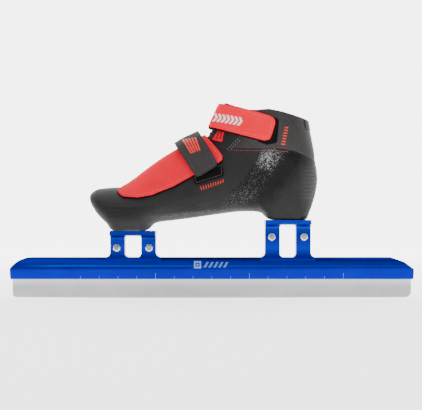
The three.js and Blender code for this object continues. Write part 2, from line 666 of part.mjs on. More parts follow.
// ---- the skate ------------------------------------------------------------------------------
addPart('runner', makeRunner(), steel);
addPart('blade_tube', makeTube(), blueAnodised);
addPart('front_end_plug', makePlug(-1), blackFabric);
addPart('rear_end_plug', makePlug(1), blackFabric);
for (const each of towers) {
  addPart(`${each.name}_cup`, makeCup(each), blueAnodised);
  for (const [n, side] of [[1, -1], [2, 1]]) {
    const x = each.x + side * crossBolt.spacing / 2;
    addPart(`${each.name}_cup_bolt_${n}`, makeCrossBolt(x, each.top - crossBolt.below), zinc);
    addPart(`${each.name}_cup_nut_${n}`, makeNut(x, each.top - crossBolt.below), zinc);
  }
  addPart(`${each.name}_boot_bolt`, makeBootBolt(each), zinc);
  addPart(`${each.name}_mount_insert`, makeInsert(each), zinc);
}
addBootPart('boot_shell', makeShell(), carbon);
addBootPart('boot_upper', makeUpper(), blackLeather);
addBootPart('ankle_cuff', makeCuff(), blackFabric);
addBootPart('collar_lining', makeLining(), foam);
addBootPart('tongue', makeTongue(), blackFabric);
addBootPart('insole', makeInsole(), foam);
eyelets.forEach((pair, i) => {
  addBootPart(`eyelet_lateral_${i + 1}`, makeEyelet(pair.lateral), zinc);
  addBootPart(`eyelet_medial_${i + 1}`, makeEyelet(pair.medial), zinc);
});
addBootPart('lace', makeLace(), laceFabric);
addBootPart('lace_cover', makeCover(), redLeather);
addBootPart('instep_strap', makeInstepStrap(), blackFabric);
addBootPart('instep_loop_pad', makeLoopPad(), blackFabric);
addBootPart('ankle_strap', makeAnkleStrap(), redLeather);
addBootPart('ankle_strap_anchor', makeAnkleAnchor(), redLeather);
addBootPart('heel_patch', makeHeelPatch(), blackFabric);
addBootPart('tongue_tab', makeTongueTab(), redLeather);

export default skate;
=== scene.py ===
# A left speed skate: blue tube and steel runner, carbon boot, red lace cover and straps.
import math
import bmesh
import bpy
import numpy as np
from mathutils import Matrix, Vector
from mathutils.bvhtree import BVHTree


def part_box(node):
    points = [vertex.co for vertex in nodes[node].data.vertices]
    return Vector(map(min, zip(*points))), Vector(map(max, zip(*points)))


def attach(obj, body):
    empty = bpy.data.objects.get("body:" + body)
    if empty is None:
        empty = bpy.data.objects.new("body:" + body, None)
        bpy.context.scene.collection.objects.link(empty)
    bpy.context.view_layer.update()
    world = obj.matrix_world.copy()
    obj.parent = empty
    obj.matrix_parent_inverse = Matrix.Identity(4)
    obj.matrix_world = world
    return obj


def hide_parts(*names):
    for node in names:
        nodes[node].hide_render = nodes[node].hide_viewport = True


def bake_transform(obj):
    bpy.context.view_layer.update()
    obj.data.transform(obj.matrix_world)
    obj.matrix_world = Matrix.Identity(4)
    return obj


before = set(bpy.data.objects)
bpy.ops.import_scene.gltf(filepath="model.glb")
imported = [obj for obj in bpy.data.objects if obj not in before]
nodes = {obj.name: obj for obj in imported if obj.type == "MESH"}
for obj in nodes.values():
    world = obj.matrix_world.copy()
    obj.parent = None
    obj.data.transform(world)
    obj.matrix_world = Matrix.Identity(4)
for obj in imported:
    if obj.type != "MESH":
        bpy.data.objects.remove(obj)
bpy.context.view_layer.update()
mm = 0.001


# camera, floor and light
view = {"distance": 1.2, "middleX": -0.0009, "middleZ": 0.1, "width": 0.4515, "sensor": 36.0}


def makeCamera():
    data = bpy.data.cameras.new("camera")
    data.sensor_width = view["sensor"]
    data.lens = view["sensor"] * view["distance"] / view["width"]
    camera = bpy.data.objects.new("camera", data)
    camera.location = (view["middleX"], -view["distance"], view["middleZ"])
    camera.rotation_euler = (math.pi / 2, 0, 0)
    bpy.context.scene.collection.objects.link(camera)
    bpy.context.scene.camera = camera


studio = {
    "floorZ": -0.0004, "reach": 3.0, "wallY": 1.6, "bend": 0.7, "wallTop": 3.2, "bendSteps": 20,
    "glow": 4.4, "nearGlow": 0.5, "worldStrength": 0.4,
    "lights": [  # name, place, target, size x, size y, power, colour
        ("top", (0.0, -0.1, 1.5), (0.0, 0.0, 0.0), 1.4, 0.8, 12, (1.0, 1.0, 1.0)),
        ("key", (-0.5, -1.1, 1.2), (0.0, 0.0, 0.1), 0.5, 0.4, 5, (1.0, 0.99, 0.98)),
        ("strip", (0.0, -0.9, 0.5), (0.0, 0.0, 0.03), 1.4, 0.05, 1.5, (1.0, 1.0, 1.0)),
    ],
}


def makeStudio():
    bm = bmesh.new()
    reach, bend = studio["reach"], studio["bend"]
    first = bm.verts.new((-reach, -reach, studio["floorZ"]))
    points = [(studio["wallY"] - bend + bend * math.sin(a), studio["floorZ"] + bend * (1 - math.cos(a)))
              for a in np.linspace(0, math.pi / 2, studio["bendSteps"])]
    line = [first] + [bm.verts.new((-reach, y, z)) for y, z in points]
    line.append(bm.verts.new((-reach, studio["wallY"], studio["wallTop"])))
    edges = [bm.edges.new(pair) for pair in zip(line, line[1:])]
    pushed = bmesh.ops.extrude_edge_only(bm, edges=edges)["geom"]
    moved = [g for g in pushed if isinstance(g, bmesh.types.BMVert)]
    bmesh.ops.translate(bm, verts=moved, vec=(2 * reach, 0, 0))
    meshObject("studio_floor", bm, floorPaint())
    world = bpy.data.worlds.new("studio")
    world.use_nodes = True
    background = world.node_tree.nodes["Background"].inputs
    background["Color"].default_value = (1, 1, 1, 1)
    background["Strength"].default_value = studio["worldStrength"]
    bpy.context.scene.world = world
    for name, place, target, sizeX, sizeY, power, color in studio["lights"]:
        data = bpy.data.lights.new(name, "AREA")
        data.shape = "RECTANGLE"
        data.size, data.size_y, data.energy, data.color = sizeX, sizeY, power, color
        lamp = bpy.data.objects.new(name, data)
        lamp.location = place
        lamp.rotation_euler = (Vector(target) - Vector(place)).to_track_quat("-Z", "Y").to_euler()
        bpy.context.scene.collection.objects.link(lamp)


# a shader socket: sums and products of wires add Math nodes
class Wire:
    def __init__(self, recipe, socket):
        self.recipe, self.socket = recipe, socket

    def math(self, operation, *others):
        return self.recipe.node("ShaderNodeMath", {"operation": operation}, dict(enumerate((self, *others))))

    def __add__(self, other):
        return self.math("ADD", other)

    def __radd__(self, other):
        return self.math("ADD", other)

    def __sub__(self, other):
        return self.math("SUBTRACT", other)

    def __rsub__(self, other):
        return self.recipe.node("ShaderNodeMath", {"operation": "SUBTRACT"}, {0: other, 1: self})

    def __mul__(self, other):
        return self.math("MULTIPLY", other)

    def __rmul__(self, other):
        return self.math("MULTIPLY", other)

    def __truediv__(self, other):
        return self.math("DIVIDE", other)

    def __gt__(self, other):
        return self.math("GREATER_THAN", other)

    def __lt__(self, other):
        return self.math("LESS_THAN", other)


# a material and the nodes that it is built from
class Recipe:
    def __init__(self, name, **fixed):
        self.material = bpy.data.materials.new(name)
        self.material.use_nodes = True
        self.tree = self.material.node_tree
        self.tree.nodes.clear()
        self.shader = self.tree.nodes.new("ShaderNodeBsdfPrincipled")
        output = self.tree.nodes.new("ShaderNodeOutputMaterial")
        self.tree.links.new(self.shader.outputs[0], output.inputs[0])
        self.set(**fixed)

    def join(self, socket, value):
        if isinstance(value, Wire):
            self.tree.links.new(value.socket, socket)
        elif isinstance(value, tuple) and len(value) == 3 and socket.type == "RGBA":
            socket.default_value = (*value, 1)
        else:
            socket.default_value = value

    def set(self, **values):
        for key, value in values.items():
            self.join(self.shader.inputs[key.replace("_", " ")], value)

    # any node: its type, its settings, and the values or links of its sockets
    def node(self, kind, settings=None, values=None, output=0):
        made = self.tree.nodes.new(kind)
        for key, value in (settings or {}).items():
            setattr(made, key, value)
        for key, value in (values or {}).items():
            self.join(made.inputs[key], value)
        return Wire(self, made.outputs[output])

    def place(self, scale=(1, 1, 1), turn=(0, 0, 0), uv=None):
        if uv:
            start = self.node("ShaderNodeUVMap", {"uv_map": uv})
        else:
            start = self.node("ShaderNodeTexCoord", output="Object")
        return self.node("ShaderNodeMapping", {}, {"Vector": start, "Scale": scale, "Rotation": turn})

    def axes(self, vector):
        return [self.node("ShaderNodeSeparateXYZ", {}, {0: vector}, output=i) for i in range(3)]

    def noise(self, vector, scale, detail=4.0, rough=0.5):
        return self.node("ShaderNodeTexNoise", {},
                         {"Vector": vector, "Scale": scale, "Detail": detail, "Roughness": rough}, "Fac")

    def spread(self, value, low, high, newLow=0.0, newHigh=1.0):
        return self.node("ShaderNodeMapRange", {"clamp": True}, {
            0: value, 1: low, 2: high, 3: newLow, 4: newHigh})

    def mix(self, share, first, second):
        return self.node("ShaderNodeMix", {"data_type": "RGBA"}, {0: share, 6: first, 7: second}, 2)

    def bump(self, height, strength, distance):
        return self.node("ShaderNodeBump", {}, {
            "Height": height, "Strength": strength, "Distance": distance})


# meshes and how they join the frame
def meshObject(name, bm, material, smoothAngle=None):
    mesh = bpy.data.meshes.new(name)
    bm.to_mesh(mesh)
    bm.free()
    piece = bpy.data.objects.new(name, mesh)
    bpy.context.scene.collection.objects.link(piece)
    mesh.materials.append(material)
    mesh.polygons.foreach_set("use_smooth", [True] * len(mesh.polygons))
    if smoothAngle is not None:
        mesh.set_sharp_from_angle(angle=math.radians(smoothAngle))
    return piece


def settle(piece, body, slot, *replaced):
    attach(piece, body)
    if replaced:
        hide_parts(*replaced)
    return piece


def addModifier(piece, kind, **settings):
    modifier = piece.modifiers.new(kind.lower(), kind)
    for key, value in settings.items():
        setattr(modifier, key, value)
    return modifier


# finishes
def floorPaint():
    recipe = Recipe("studio_paint", Roughness=1.0, Specular_IOR_Level=0.0, Emission_Strength=studio["glow"])
    where = recipe.place()
    grain = recipe.noise(where, 3.0)
    near = (studio["nearGlow"],) * 3
    back = recipe.spread(recipe.axes(where)[1], -0.1, 1.0)
    recipe.set(Base_Color=recipe.mix(grain * 0.3, (0.6, 0.6, 0.6), (0.58, 0.58, 0.58)),
               Emission_Color=recipe.mix(back, near, (1.0, 1.0, 1.0)))
    return recipe.material


tubeLook = {
    "deep": (0.0004, 0.004, 0.22), "clear": (0.0006, 0.01, 0.33), "line": (0.006, 0.12, 0.75),
    "shade": (0.0004, 0.0016, 0.08), "leg": (0.0012, 0.03, 0.5), "bare": (0.45, 0.6, 0.95),
    "etched": (0.3, 0.5, 0.88), "lipZ": (0.0207, 0.0212), "shadeZ": (0.0385, 0.0442),
    "legZ": (0.0455, 0.054), "nutZ": 0.067, "nutReach": 0.012, "lineHighlightShare": 0.85, "shadeShare": 0.75,
    "legHighlightShare": 0.6, "tickShare": 0.36, "barShare": 0.4, "badgeShare": 0.65,
}
tubeMarks = {
    "tickPitch": 0.02, "tickWidth": 0.00042, "tickLow": 0.0208, "tickHigh": 0.0243, "longTick": 0.0276,
    "tickReach": 0.1425, "barFrom": -0.009, "barTo": 0.0152, "barLow": 0.0335, "barHigh": 0.0395,
    "barPitch": 0.0052, "barWidth": 0.0028, "slant": 0.55, "badgeX": -0.0152, "badgeZ": 0.0365,
    "badgeHalf": 0.0039, "gapHalf": 0.0021, "coreHalf": 0.0011, "lineZ": 0.0352, "lineHalf": 0.0011,
}


def blueAnodised():
    recipe = Recipe("blue_anodised", Metallic=1.0)
    where = recipe.place()
    x, y, z = recipe.axes(where)
    streaks = recipe.noise(recipe.place(scale=(6, 160, 160)), 9.0, 5.0, 0.6)
    cloud = recipe.noise(where, 22.0, 3.0)
    fine = recipe.noise(recipe.place(scale=(40, 900, 900)), 3.0, 2.0)
    blue = recipe.mix(recipe.spread(streaks + cloud * 0.5, 0.5, 1.1), tubeLook["deep"], tubeLook["clear"])
    # a groove drawn along the extrusion, in the bump, with a painted highlight along it that is brightest at
    # the nose
    line = recipe.spread((z - tubeMarks["lineZ"]).math("ABSOLUTE"), 0, tubeMarks["lineHalf"], 1.0, 0.0)
    line = line * recipe.spread(x, -0.2, 0.1, 1.0, 0.3) * recipe.spread(x, -0.205, -0.17)
    blue = recipe.mix(line * tubeLook["lineHighlightShare"], blue, tubeLook["line"])
    # painted shade: the top of the tube is darker
    shade = recipe.spread(z, *tubeLook["shadeZ"]) * tubeLook["shadeShare"]
    blue = recipe.mix(shade, blue, tubeLook["shade"])
    # painted highlight: the blue above the tube, on the cups' legs, is lighter, less so near the nuts
    aroundNut = recipe.spread((z - tubeLook["nutZ"]).math("ABSOLUTE"), 0, tubeLook["nutReach"], 0.6, 0.0)
    litLegs = recipe.spread(z, *tubeLook["legZ"]) * (1 - aroundNut)
    blue = recipe.mix(litLegs * tubeLook["legHighlightShare"], blue, tubeLook["leg"])
    # painted highlight: a pale line along the lip above the runner
    blue = recipe.mix(recipe.spread(z, *tubeLook["lipZ"], 1.0, 0.0), blue, tubeLook["bare"])
    offset = tubeMarks["tickPitch"] / 2
    tick = (x + 10 + offset).math("MODULO", tubeMarks["tickPitch"]) - offset
    tall = (x + 10 + offset * 5).math("MODULO", offset * 10) > offset * 8
    top = tubeMarks["tickHigh"] + tall * (tubeMarks["longTick"] - tubeMarks["tickHigh"])
    ticks = (tick.math("ABSOLUTE") < tubeMarks["tickWidth"] / 2) * (z > tubeMarks["tickLow"]) \
        * (z < top) * (x.math("ABSOLUTE") < tubeMarks["tickReach"])
    leaned = x - (z - tubeMarks["barLow"]) * tubeMarks["slant"]
    cell = (leaned - tubeMarks["barFrom"]).math("MODULO", tubeMarks["barPitch"])
    bars = (cell < tubeMarks["barWidth"]) * (leaned > tubeMarks["barFrom"]) * (leaned < tubeMarks["barTo"]) \
        * (z > tubeMarks["barLow"]) * (z < tubeMarks["barHigh"])
    besideBadge, aboveBadge = x - tubeMarks["badgeX"], z - tubeMarks["badgeZ"]
    acrossBadge = besideBadge.math("ABSOLUTE").math("MAXIMUM", aboveBadge.math("ABSOLUTE"))
    badge = (acrossBadge < tubeMarks["badgeHalf"]) - (acrossBadge < tubeMarks["gapHalf"]) \
        + (acrossBadge < tubeMarks["coreHalf"])
    onOuterSide = (bars * tubeLook["barShare"] + badge * tubeLook["badgeShare"]) * (y < 0)
    etched = (ticks * tubeLook["tickShare"]).math("MAXIMUM", onOuterSide)
    recipe.set(
        Base_Color=recipe.mix(etched, blue, tubeLook["etched"]),
        Roughness=recipe.spread(streaks, 0.3, 0.7, 0.34, 0.44) + etched * 0.15,
        Normal=recipe.bump(fine * 0.6 + streaks * 0.4 + line * 0.8, 0.06, 0.0004),
    )
    return recipe.material


steelLook = {
    "dark": (0.38, 0.39, 0.38), "light": (0.47, 0.475, 0.47), "warm": (0.47, 0.44, 0.46),
    "upper": (0.62, 0.66, 0.72), "upperHighlightZ": (0.0125, 0.0195), "honed": (0.68, 0.69, 0.69),
    "honedZ": (0.0012, 0.002), "warmShare": 0.5, "upperHighlightShare": 0.8,
}


def runnerSteel():
    recipe = Recipe("runner_steel", Metallic=1.0)
    z = recipe.axes(recipe.place())[2]
    grind = recipe.noise(recipe.place(scale=(4, 700, 700)), 6.0, 6.0, 0.65)
    cloud = recipe.noise(recipe.place(scale=(1, 1, 2)), 24.0, 3.0)
    tint = recipe.noise(recipe.place(scale=(0.5, 1, 3)), 30.0, 2.0)
    color = recipe.mix(recipe.spread(cloud, 0.35, 0.65), steelLook["dark"], steelLook["light"])
    color = recipe.mix(recipe.spread(tint, 0.45, 0.75) * steelLook["warmShare"], color, steelLook["warm"])
    # painted highlight: a lighter, bluish band just under the tube
    upperHighlight = recipe.spread(z, *steelLook["upperHighlightZ"]) * steelLook["upperHighlightShare"]
    color = recipe.mix(upperHighlight, color, steelLook["upper"])
    honed = recipe.spread(z, *steelLook["honedZ"], 1.0, 0.0)  # the brighter honed edge
    recipe.set(
        Base_Color=recipe.mix(honed, color, steelLook["honed"]),
        Roughness=recipe.spread(grind + cloud * 0.4, 0.4, 1.0, 0.34, 0.5) - honed * 0.14,
        Normal=recipe.bump(grind, 0.12, 0.0003),
    )
    return recipe.material


# colour in clouds, with a finer grain in the gloss and the bump; both are (scale, detail, roughness)
def grained(name, dark, light, clouds, share, grain, gloss, strength, depth=0.0002, **fixed):
    recipe = Recipe(name, **fixed)
    where = recipe.place()
    cloud = recipe.noise(where, *clouds)
    fine = recipe.noise(where, *grain)
    recipe.set(Base_Color=recipe.mix(recipe.spread(cloud, *share), dark, light),
               Normal=recipe.bump(fine, strength, depth))
    if gloss:
        recipe.set(Roughness=recipe.spread(fine, 0.3, 0.7, *gloss))
    return recipe.material


def platedSteel(name, dark, light):
    return grained(name, dark, light, (120, 3), (0.35, 0.65), (900, 4), (0.22, 0.38), 0.06, Metallic=1.0)


def blackRubber(name, dark, light):
    return grained(name, dark, light, (1500, 3), (0, 1), (1500, 3), (0.6, 0.8), 0.2, 0.0003,
                   Specular_IOR_Level=0.3)


def threadFinish(name, dark, light):
    return grained(name, dark, light, (2600, 3), (0.3, 0.7), (2600, 3), None, 0.3, Roughness=0.62,
                   Sheen_Weight=0.2)


def printInk(name, dark, light):
    return grained(name, dark, light, (260, 5, 0.65), (0.3, 0.7), (1700, 2), (0.45, 0.6), 0.15,
                   Specular_IOR_Level=0.35)


# height of a 2 by 2 twill and which way its tow runs, in the vector's X and Y
def twillWeave(recipe, vector, pitch):
    x, y, z = recipe.axes(vector)
    column = (x / pitch).math("FLOOR")
    row = (y / pitch).math("FLOOR")
    over = ((column - row + 400).math("MODULO", 4.0)) < 1.5
    inX = (x / pitch).math("FRACT") - 0.5
    inY = (y / pitch).math("FRACT") - 0.5
    roundX = 1 - inX * inX * 3.2
    roundY = 1 - inY * inY * 3.2
    return over * roundY + (1 - over) * roundX, over


shellLook = {
    "weave": 0.0017, "cells": 1500.0, "ribPitch": 0.0041, "heelX": (0.09, 0.107),
    "heelZ": (0.096, 0.108, 0.136, 0.148), "dark": (0.0115, 0.0115, 0.0115), "light": (0.019, 0.019, 0.019),
    "tow": (0.021, 0.021, 0.021), "resinDark": (0.001, 0.001, 0.0012), "resinLight": (0.0085, 0.0085, 0.009),
    "heel": (0.055, 0.055, 0.055), "arch": (0.0015, 0.0015, 0.0016), "speckAndGlint": (0.3, 0.3, 0.31),
    "towShare": 0.25, "heelSheenShare": 0.8, "ribSheenShare": 0.2, "archShadeShare": 0.9,
}
# the resin band runs from the ankle bone down to the arch; a dotted line follows the arch's edge
resinBand = {
    "x": 0.02, "z": 0.095, "slope": 1.295, "half": (0.006, 0.015), "foot": (0.088, 0.1), "fray": 0.02,
    "darkShift": 0.009, "darkHalf": (0.014, 0.027), "darkFoot": (0.09, 0.102), "boneX": 0.057,
    "boneZ": 0.149, "boneReach": 0.0155, "lineZ": 0.0935, "lineSlope": 0.1, "lineHalf": (0.0008, 0.0026),
    "lineX": (-0.075, -0.045, 0.0, 0.02), "archZ": (0.0868, 0.0915), "archX": (-0.075, -0.045, 0.048, 0.066),
}


# 1 from the second place of four to the third, fading to 0 at the outer two
def stretch(recipe, value, places):
    return recipe.spread(value, *places[:2]) * recipe.spread(value, *places[2:], 1.0, 0.0)


def carbonShell():
    recipe = Recipe("carbon_shell", Specular_IOR_Level=0.12, Coat_Roughness=0.24)
    where = recipe.place()
    x, y, z = recipe.axes(where)
    onCloth = recipe.place(uv="cloth", turn=(0, 0, math.radians(45)))
    height, over = twillWeave(recipe, onCloth, shellLook["weave"])
    wave = recipe.noise(where, 30.0, 4.0)
    ripple = recipe.noise(where, 800.0, 3.0, 0.6)
    cells = recipe.node("ShaderNodeTexVoronoi", {}, {"Vector": where, "Scale": shellLook["cells"]}, "Color")
    facet = recipe.axes(cells)[0]
    slope = resinBand["slope"]
    off = (z - resinBand["z"] - (x - resinBand["x"]) * slope) * (1 / math.hypot(1, slope))
    fray = (recipe.noise(where, 140.0, 4.0, 0.7) - 0.5) * resinBand["fray"]
    fromDark = (off + resinBand["darkShift"]).math("ABSOLUTE") + fray
    dark = recipe.spread(fromDark, *resinBand["darkHalf"], 1.0, 0.0) \
        * recipe.spread(z, *resinBand["darkFoot"])
    band = recipe.spread(off.math("ABSOLUTE") + fray, *resinBand["half"], 1.0, 0.0) \
        * recipe.spread(z, *resinBand["foot"])
    besideBone, aboveBone = x - resinBand["boneX"], z - resinBand["boneZ"]
    fromBone = (besideBone * besideBone + aboveBone * aboveBone).math("SQRT")
    bone = recipe.spread(fromBone + fray * 0.6, 0.0, resinBand["boneReach"], 1.0, 0.0)
    fromLine = (z - resinBand["lineZ"] - x * resinBand["lineSlope"]).math("ABSOLUTE")
    dotted = recipe.spread(fromLine, *resinBand["lineHalf"], 1.0, 0.0) \
        * stretch(recipe, x, resinBand["lineX"])
    # the light specks in the resin band are painted glints; near the ankle bone they grow denser and brighter
    # into a painted highlight; the dotted line along the arch takes the same light colour
    sparkle = (facet > 0.85 - bone * 0.33) * (bone * 0.95 + 0.19) * band + (facet > 0.68) * dotted * 0.2
    matt = recipe.mix(recipe.spread(wave, 0.35, 0.65), shellLook["dark"], shellLook["light"])
    matt = recipe.mix(over * shellLook["towShare"], matt, shellLook["tow"])
    base = recipe.mix(dark, matt, recipe.mix(facet, shellLook["resinDark"], shellLook["resinLight"]))
    # painted sheen: the back of the heel is painted lighter and its moulded ribs in light stripes; the ribs
    # also stand in the bump
    behind = recipe.spread(x, *shellLook["heelX"]) * stretch(recipe, z, shellLook["heelZ"])
    ribs = (z * (2 * math.pi / shellLook["ribPitch"])).math("SINE") * behind
    base = recipe.mix(behind * shellLook["heelSheenShare"] + ribs * shellLook["ribSheenShare"], base, shellLook["heel"])
    # painted shade: the lowest strip of the shell along the arch, between the cups, is darker
    arch = recipe.spread(z - x * resinBand["lineSlope"], *resinBand["archZ"], 1.0, 0.0) \
        * stretch(recipe, x, resinBand["archX"])
    base = recipe.mix(arch * shellLook["archShadeShare"], base, shellLook["arch"])
    recipe.set(
        Base_Color=recipe.mix(sparkle.math("MINIMUM", 1.0), base, shellLook["speckAndGlint"]),
        Roughness=0.58 - dark * 0.12 + wave * 0.05,
        Coat_Weight=band * (bone * 0.35 + 0.05),
        Normal=recipe.bump(height * 0.14 + ribs * 0.5 + (facet * 0.9 + ripple) * dark, 0.5, 0.0003),
    )
    return recipe.material


# coated microfibre: fine pebbles, soft clouds and short creases
def pebbled(name, dark, light, pebbles, roughness, depth, shine):
    recipe = Recipe(name, Specular_IOR_Level=shine)
    where = recipe.place()
    pebble = recipe.node("ShaderNodeTexVoronoi", {"feature": "SMOOTH_F1"},
                         {"Vector": where, "Scale": pebbles}, "Distance")
    cloud = recipe.noise(where, 26.0, 5.0, 0.6)
    crease = recipe.noise(recipe.place(scale=(1, 1, 2.6), turn=(0, 0.6, 0)), 95.0, 6.0, 0.7)
    recipe.set(
        Base_Color=recipe.mix(recipe.spread(cloud + pebble * 0.15, 0.35, 0.75), dark, light),
        Roughness=recipe.spread(cloud, 0.3, 0.7, roughness - 0.06, roughness + 0.07),
        Normal=recipe.bump(pebble * 0.5 + crease * 0.9, depth, 0.0006),
    )
    return recipe.material


def wovenFabric(name, dark, light, pitch, roughness, shine=0.5):
    recipe = Recipe(name, Specular_IOR_Level=shine)
    where = recipe.place(turn=(math.pi / 2, 0, 0))
    height, over = twillWeave(recipe, where, pitch)
    fuzz = recipe.noise(where, 700.0, 4.0, 0.7)
    cloud = recipe.noise(where, 40.0, 3.0)
    recipe.set(
        Base_Color=recipe.mix(recipe.spread(height * 0.5 + cloud * 0.6 + fuzz * 0.3, 0.4, 1.2), dark, light),
        Roughness=recipe.spread(fuzz, 0.3, 0.7, roughness - 0.06, roughness + 0.06),
        Normal=recipe.bump(height * 0.7 + fuzz * 0.5, 0.45, 0.0003),
    )
    return recipe.material


finishes = {"blue": blueAnodised(), "steel": runnerSteel(), "carbon": carbonShell()}
# name, darkest, lightest; then pebbles per metre, roughness, depth and shine of the leathers, or thread
# pitch, roughness and shine of the fabrics
looks = {
    platedSteel: {
        "plated": ("plated_steel", (0.62, 0.62, 0.63), (0.82, 0.82, 0.84)),
        "darkSteel": ("bolt_steel", (0.2, 0.2, 0.205), (0.34, 0.34, 0.35)),
    },
    blackRubber: {"rubber": ("black_rubber", (0.012, 0.012, 0.012), (0.03, 0.03, 0.03))},
    pebbled: {
        "leather": ("black_leather", (0.0135, 0.0133, 0.0133), (0.0205, 0.0202, 0.02), 1300.0, 0.6, 0.18,
                    0.11),
        "cuff": ("cuff_leather", (0.022, 0.0198, 0.0198), (0.036, 0.0326, 0.0326), 1100.0, 0.6, 0.2, 0.16),
        "red": ("red_leather", (0.68, 0.0003, 0.018), (0.84, 0.0005, 0.026), 1500.0, 0.74, 0.12, 0.03),
    },
    wovenFabric: {
        "webbing": ("black_webbing", (0.0155, 0.0135, 0.0138), (0.036, 0.0315, 0.032), 0.0007, 0.78, 0.25),
        "loop": ("loop_fabric", (0.0015, 0.0015, 0.0015), (0.006, 0.006, 0.006), 0.0005, 0.95, 0.1),
        "knit": ("lining_knit", (0.02, 0.02, 0.022), (0.06, 0.06, 0.065), 0.0011, 0.9),
        "lace": ("lace_braid", (0.5, 0.48, 0.46), (0.78, 0.76, 0.73), 0.0005, 0.8),
    },
    threadFinish: {
        "redThread": ("red_thread", (0.16, 0.008, 0.014), (0.3, 0.02, 0.03)),
        "greyThread": ("grey_thread", (0.05, 0.05, 0.05), (0.12, 0.12, 0.118)),
        "darkThread": ("dark_thread", (0.02, 0.02, 0.02), (0.06, 0.06, 0.06)),
        "coralThread": ("coral_thread", (0.5, 0.05, 0.06), (0.75, 0.13, 0.13)),
    },
    printInk: {
        "whiteInk": ("white_ink", (0.72, 0.7, 0.7), (0.9, 0.88, 0.88)),
        "redInk": ("red_ink", (0.55, 0.012, 0.006), (0.75, 0.03, 0.015)),
        "wineInk": ("wine_ink", (0.12, 0.004, 0.006), (0.24, 0.008, 0.012)),
    },
}
for make, kinds in looks.items():
    finishes.update({kind: make(*look) for kind, look in kinds.items()})
print("finishes made")

makeCamera()
makeStudio()
print("studio made")


# blade, cups and fasteners
metal = {"corner": 35, "flatness": 0.6, "tube": 0.00045, "cup": 0.0004, "runner": 0.00012,
         "fastener": 0.00022}


# a copy of a node's shape, merged and with its flat faces joined
def mergedCopy(node, flatness):
    bm = bmesh.new()
    bm.from_mesh(nodes[node].data)
    bmesh.ops.remove_doubles(bm, verts=bm.verts, dist=1e-6)
    bmesh.ops.dissolve_limit(bm, angle_limit=math.radians(flatness), verts=bm.verts, edges=bm.edges)
    bmesh.ops.recalc_face_normals(bm, faces=bm.faces)
    return bm


# the node's own shape with its corners rounded
def bevelledCopy(node, name, material, slot, width):
    piece = meshObject(name, mergedCopy(node, metal["flatness"]), material, smoothAngle=metal["corner"])
    addModifier(piece, "BEVEL", width=width, segments=2, limit_method="ANGLE",
                angle_limit=math.radians(metal["corner"]), harden_normals=True)
    return settle(piece, "skate", slot, node)


nut = {"flats": 7.4, "hexHeight": 2.7, "chamfer": (0.15, 0.55), "bore": 2.62, "collar": 2.95, "height": 3.6,
       "collarFoot": (0.15, 0.05), "collarRound": (0.3, 0.25), "washer": 3.9, "washerHeight": 0.35,
       "sides": 48}


# a hexagon nut with chamfered corners, a washer face under it and a locking collar on top
def makeNut(node, name):
    low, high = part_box(node)
    place = Vector(((low[0] + high[0]) / 2, high[1], (low[2] + high[2]) / 2))
    half, corner = nut["flats"] / 2, nut["flats"] / math.sqrt(3)
    footOut, footUp = nut["collarFoot"]
    roundIn, roundDown = nut["collarRound"]
    rings = [  # radius, height, whether the flats cut it
        (nut["bore"], 0, False), (nut["washer"], 0, False), (nut["washer"], nut["washerHeight"], False),
        (corner, nut["washerHeight"], True), (corner, nut["hexHeight"] - nut["chamfer"][1], True),
        (half - nut["chamfer"][0], nut["hexHeight"], False),
        (nut["collar"] + footOut, nut["hexHeight"] + footUp, False),
        (nut["collar"], nut["height"] - roundDown, False), (nut["collar"] - roundIn, nut["height"], False),
        (nut["bore"], nut["height"], False),
    ]
    bm = bmesh.new()
    loops = []
    for radius, height, hexagonal in rings:
        made = bmesh.ops.create_circle(bm, cap_ends=False, radius=1, segments=nut["sides"])["verts"]
        for vert in made:
            angle = math.atan2(vert.co.y, vert.co.x)
            fromFlat = (angle + math.pi) % (math.pi / 3) - math.pi / 6
            size = (min(half / math.cos(fromFlat), radius) if hexagonal else radius) * mm
            vert.co = (math.cos(angle) * size, math.sin(angle) * size, height * mm)
        loops.append(list({edge for vert in made for edge in vert.link_edges}))
    for first, second in zip(loops, loops[1:] + loops[:1]):
        bmesh.ops.bridge_loops(bm, edges=first + second)
    bmesh.ops.recalc_face_normals(bm, faces=bm.faces)
    turn = Matrix.Rotation(math.pi / 2, 4, "X") @ Matrix.Rotation(math.pi / 6, 4, "Z")
    bmesh.ops.transform(bm, matrix=Matrix.Translation(place) @ turn, verts=bm.verts)
    return settle(meshObject(name, bm, finishes["plated"], smoothAngle=28), "skate", "plated_steel", node)


bevelledCopy("runner", "runner_blade", finishes["steel"], "runner_steel", metal["runner"])
bevelledCopy("blade_tube", "tube_body", finishes["blue"], "blue_anodised", metal["tube"])
for end in ("front", "rear"):
    bevelledCopy(f"{end}_end_plug", f"{end}_plug", finishes["rubber"], "black_rubber", metal["fastener"])
    bevelledCopy(f"{end}_cup", f"{end}_cup_body", finishes["blue"], "blue_anodised", metal["cup"])
    bevelledCopy(f"{end}_boot_bolt", f"{end}_sole_bolt", finishes["plated"], "plated_steel",
                 metal["fastener"])
    nodes[f"{end}_mount_insert"].data.materials.clear()
    nodes[f"{end}_mount_insert"].data.materials.append(finishes["plated"])
    for number in (1, 2):
        bevelledCopy(f"{end}_cup_bolt_{number}", f"{end}_clamp_bolt_{number}", finishes["darkSteel"],
                     "plated_steel", metal["fastener"])
        makeNut(f"{end}_cup_nut_{number}", f"{end}_clamp_nut_{number}")
print("blade made")


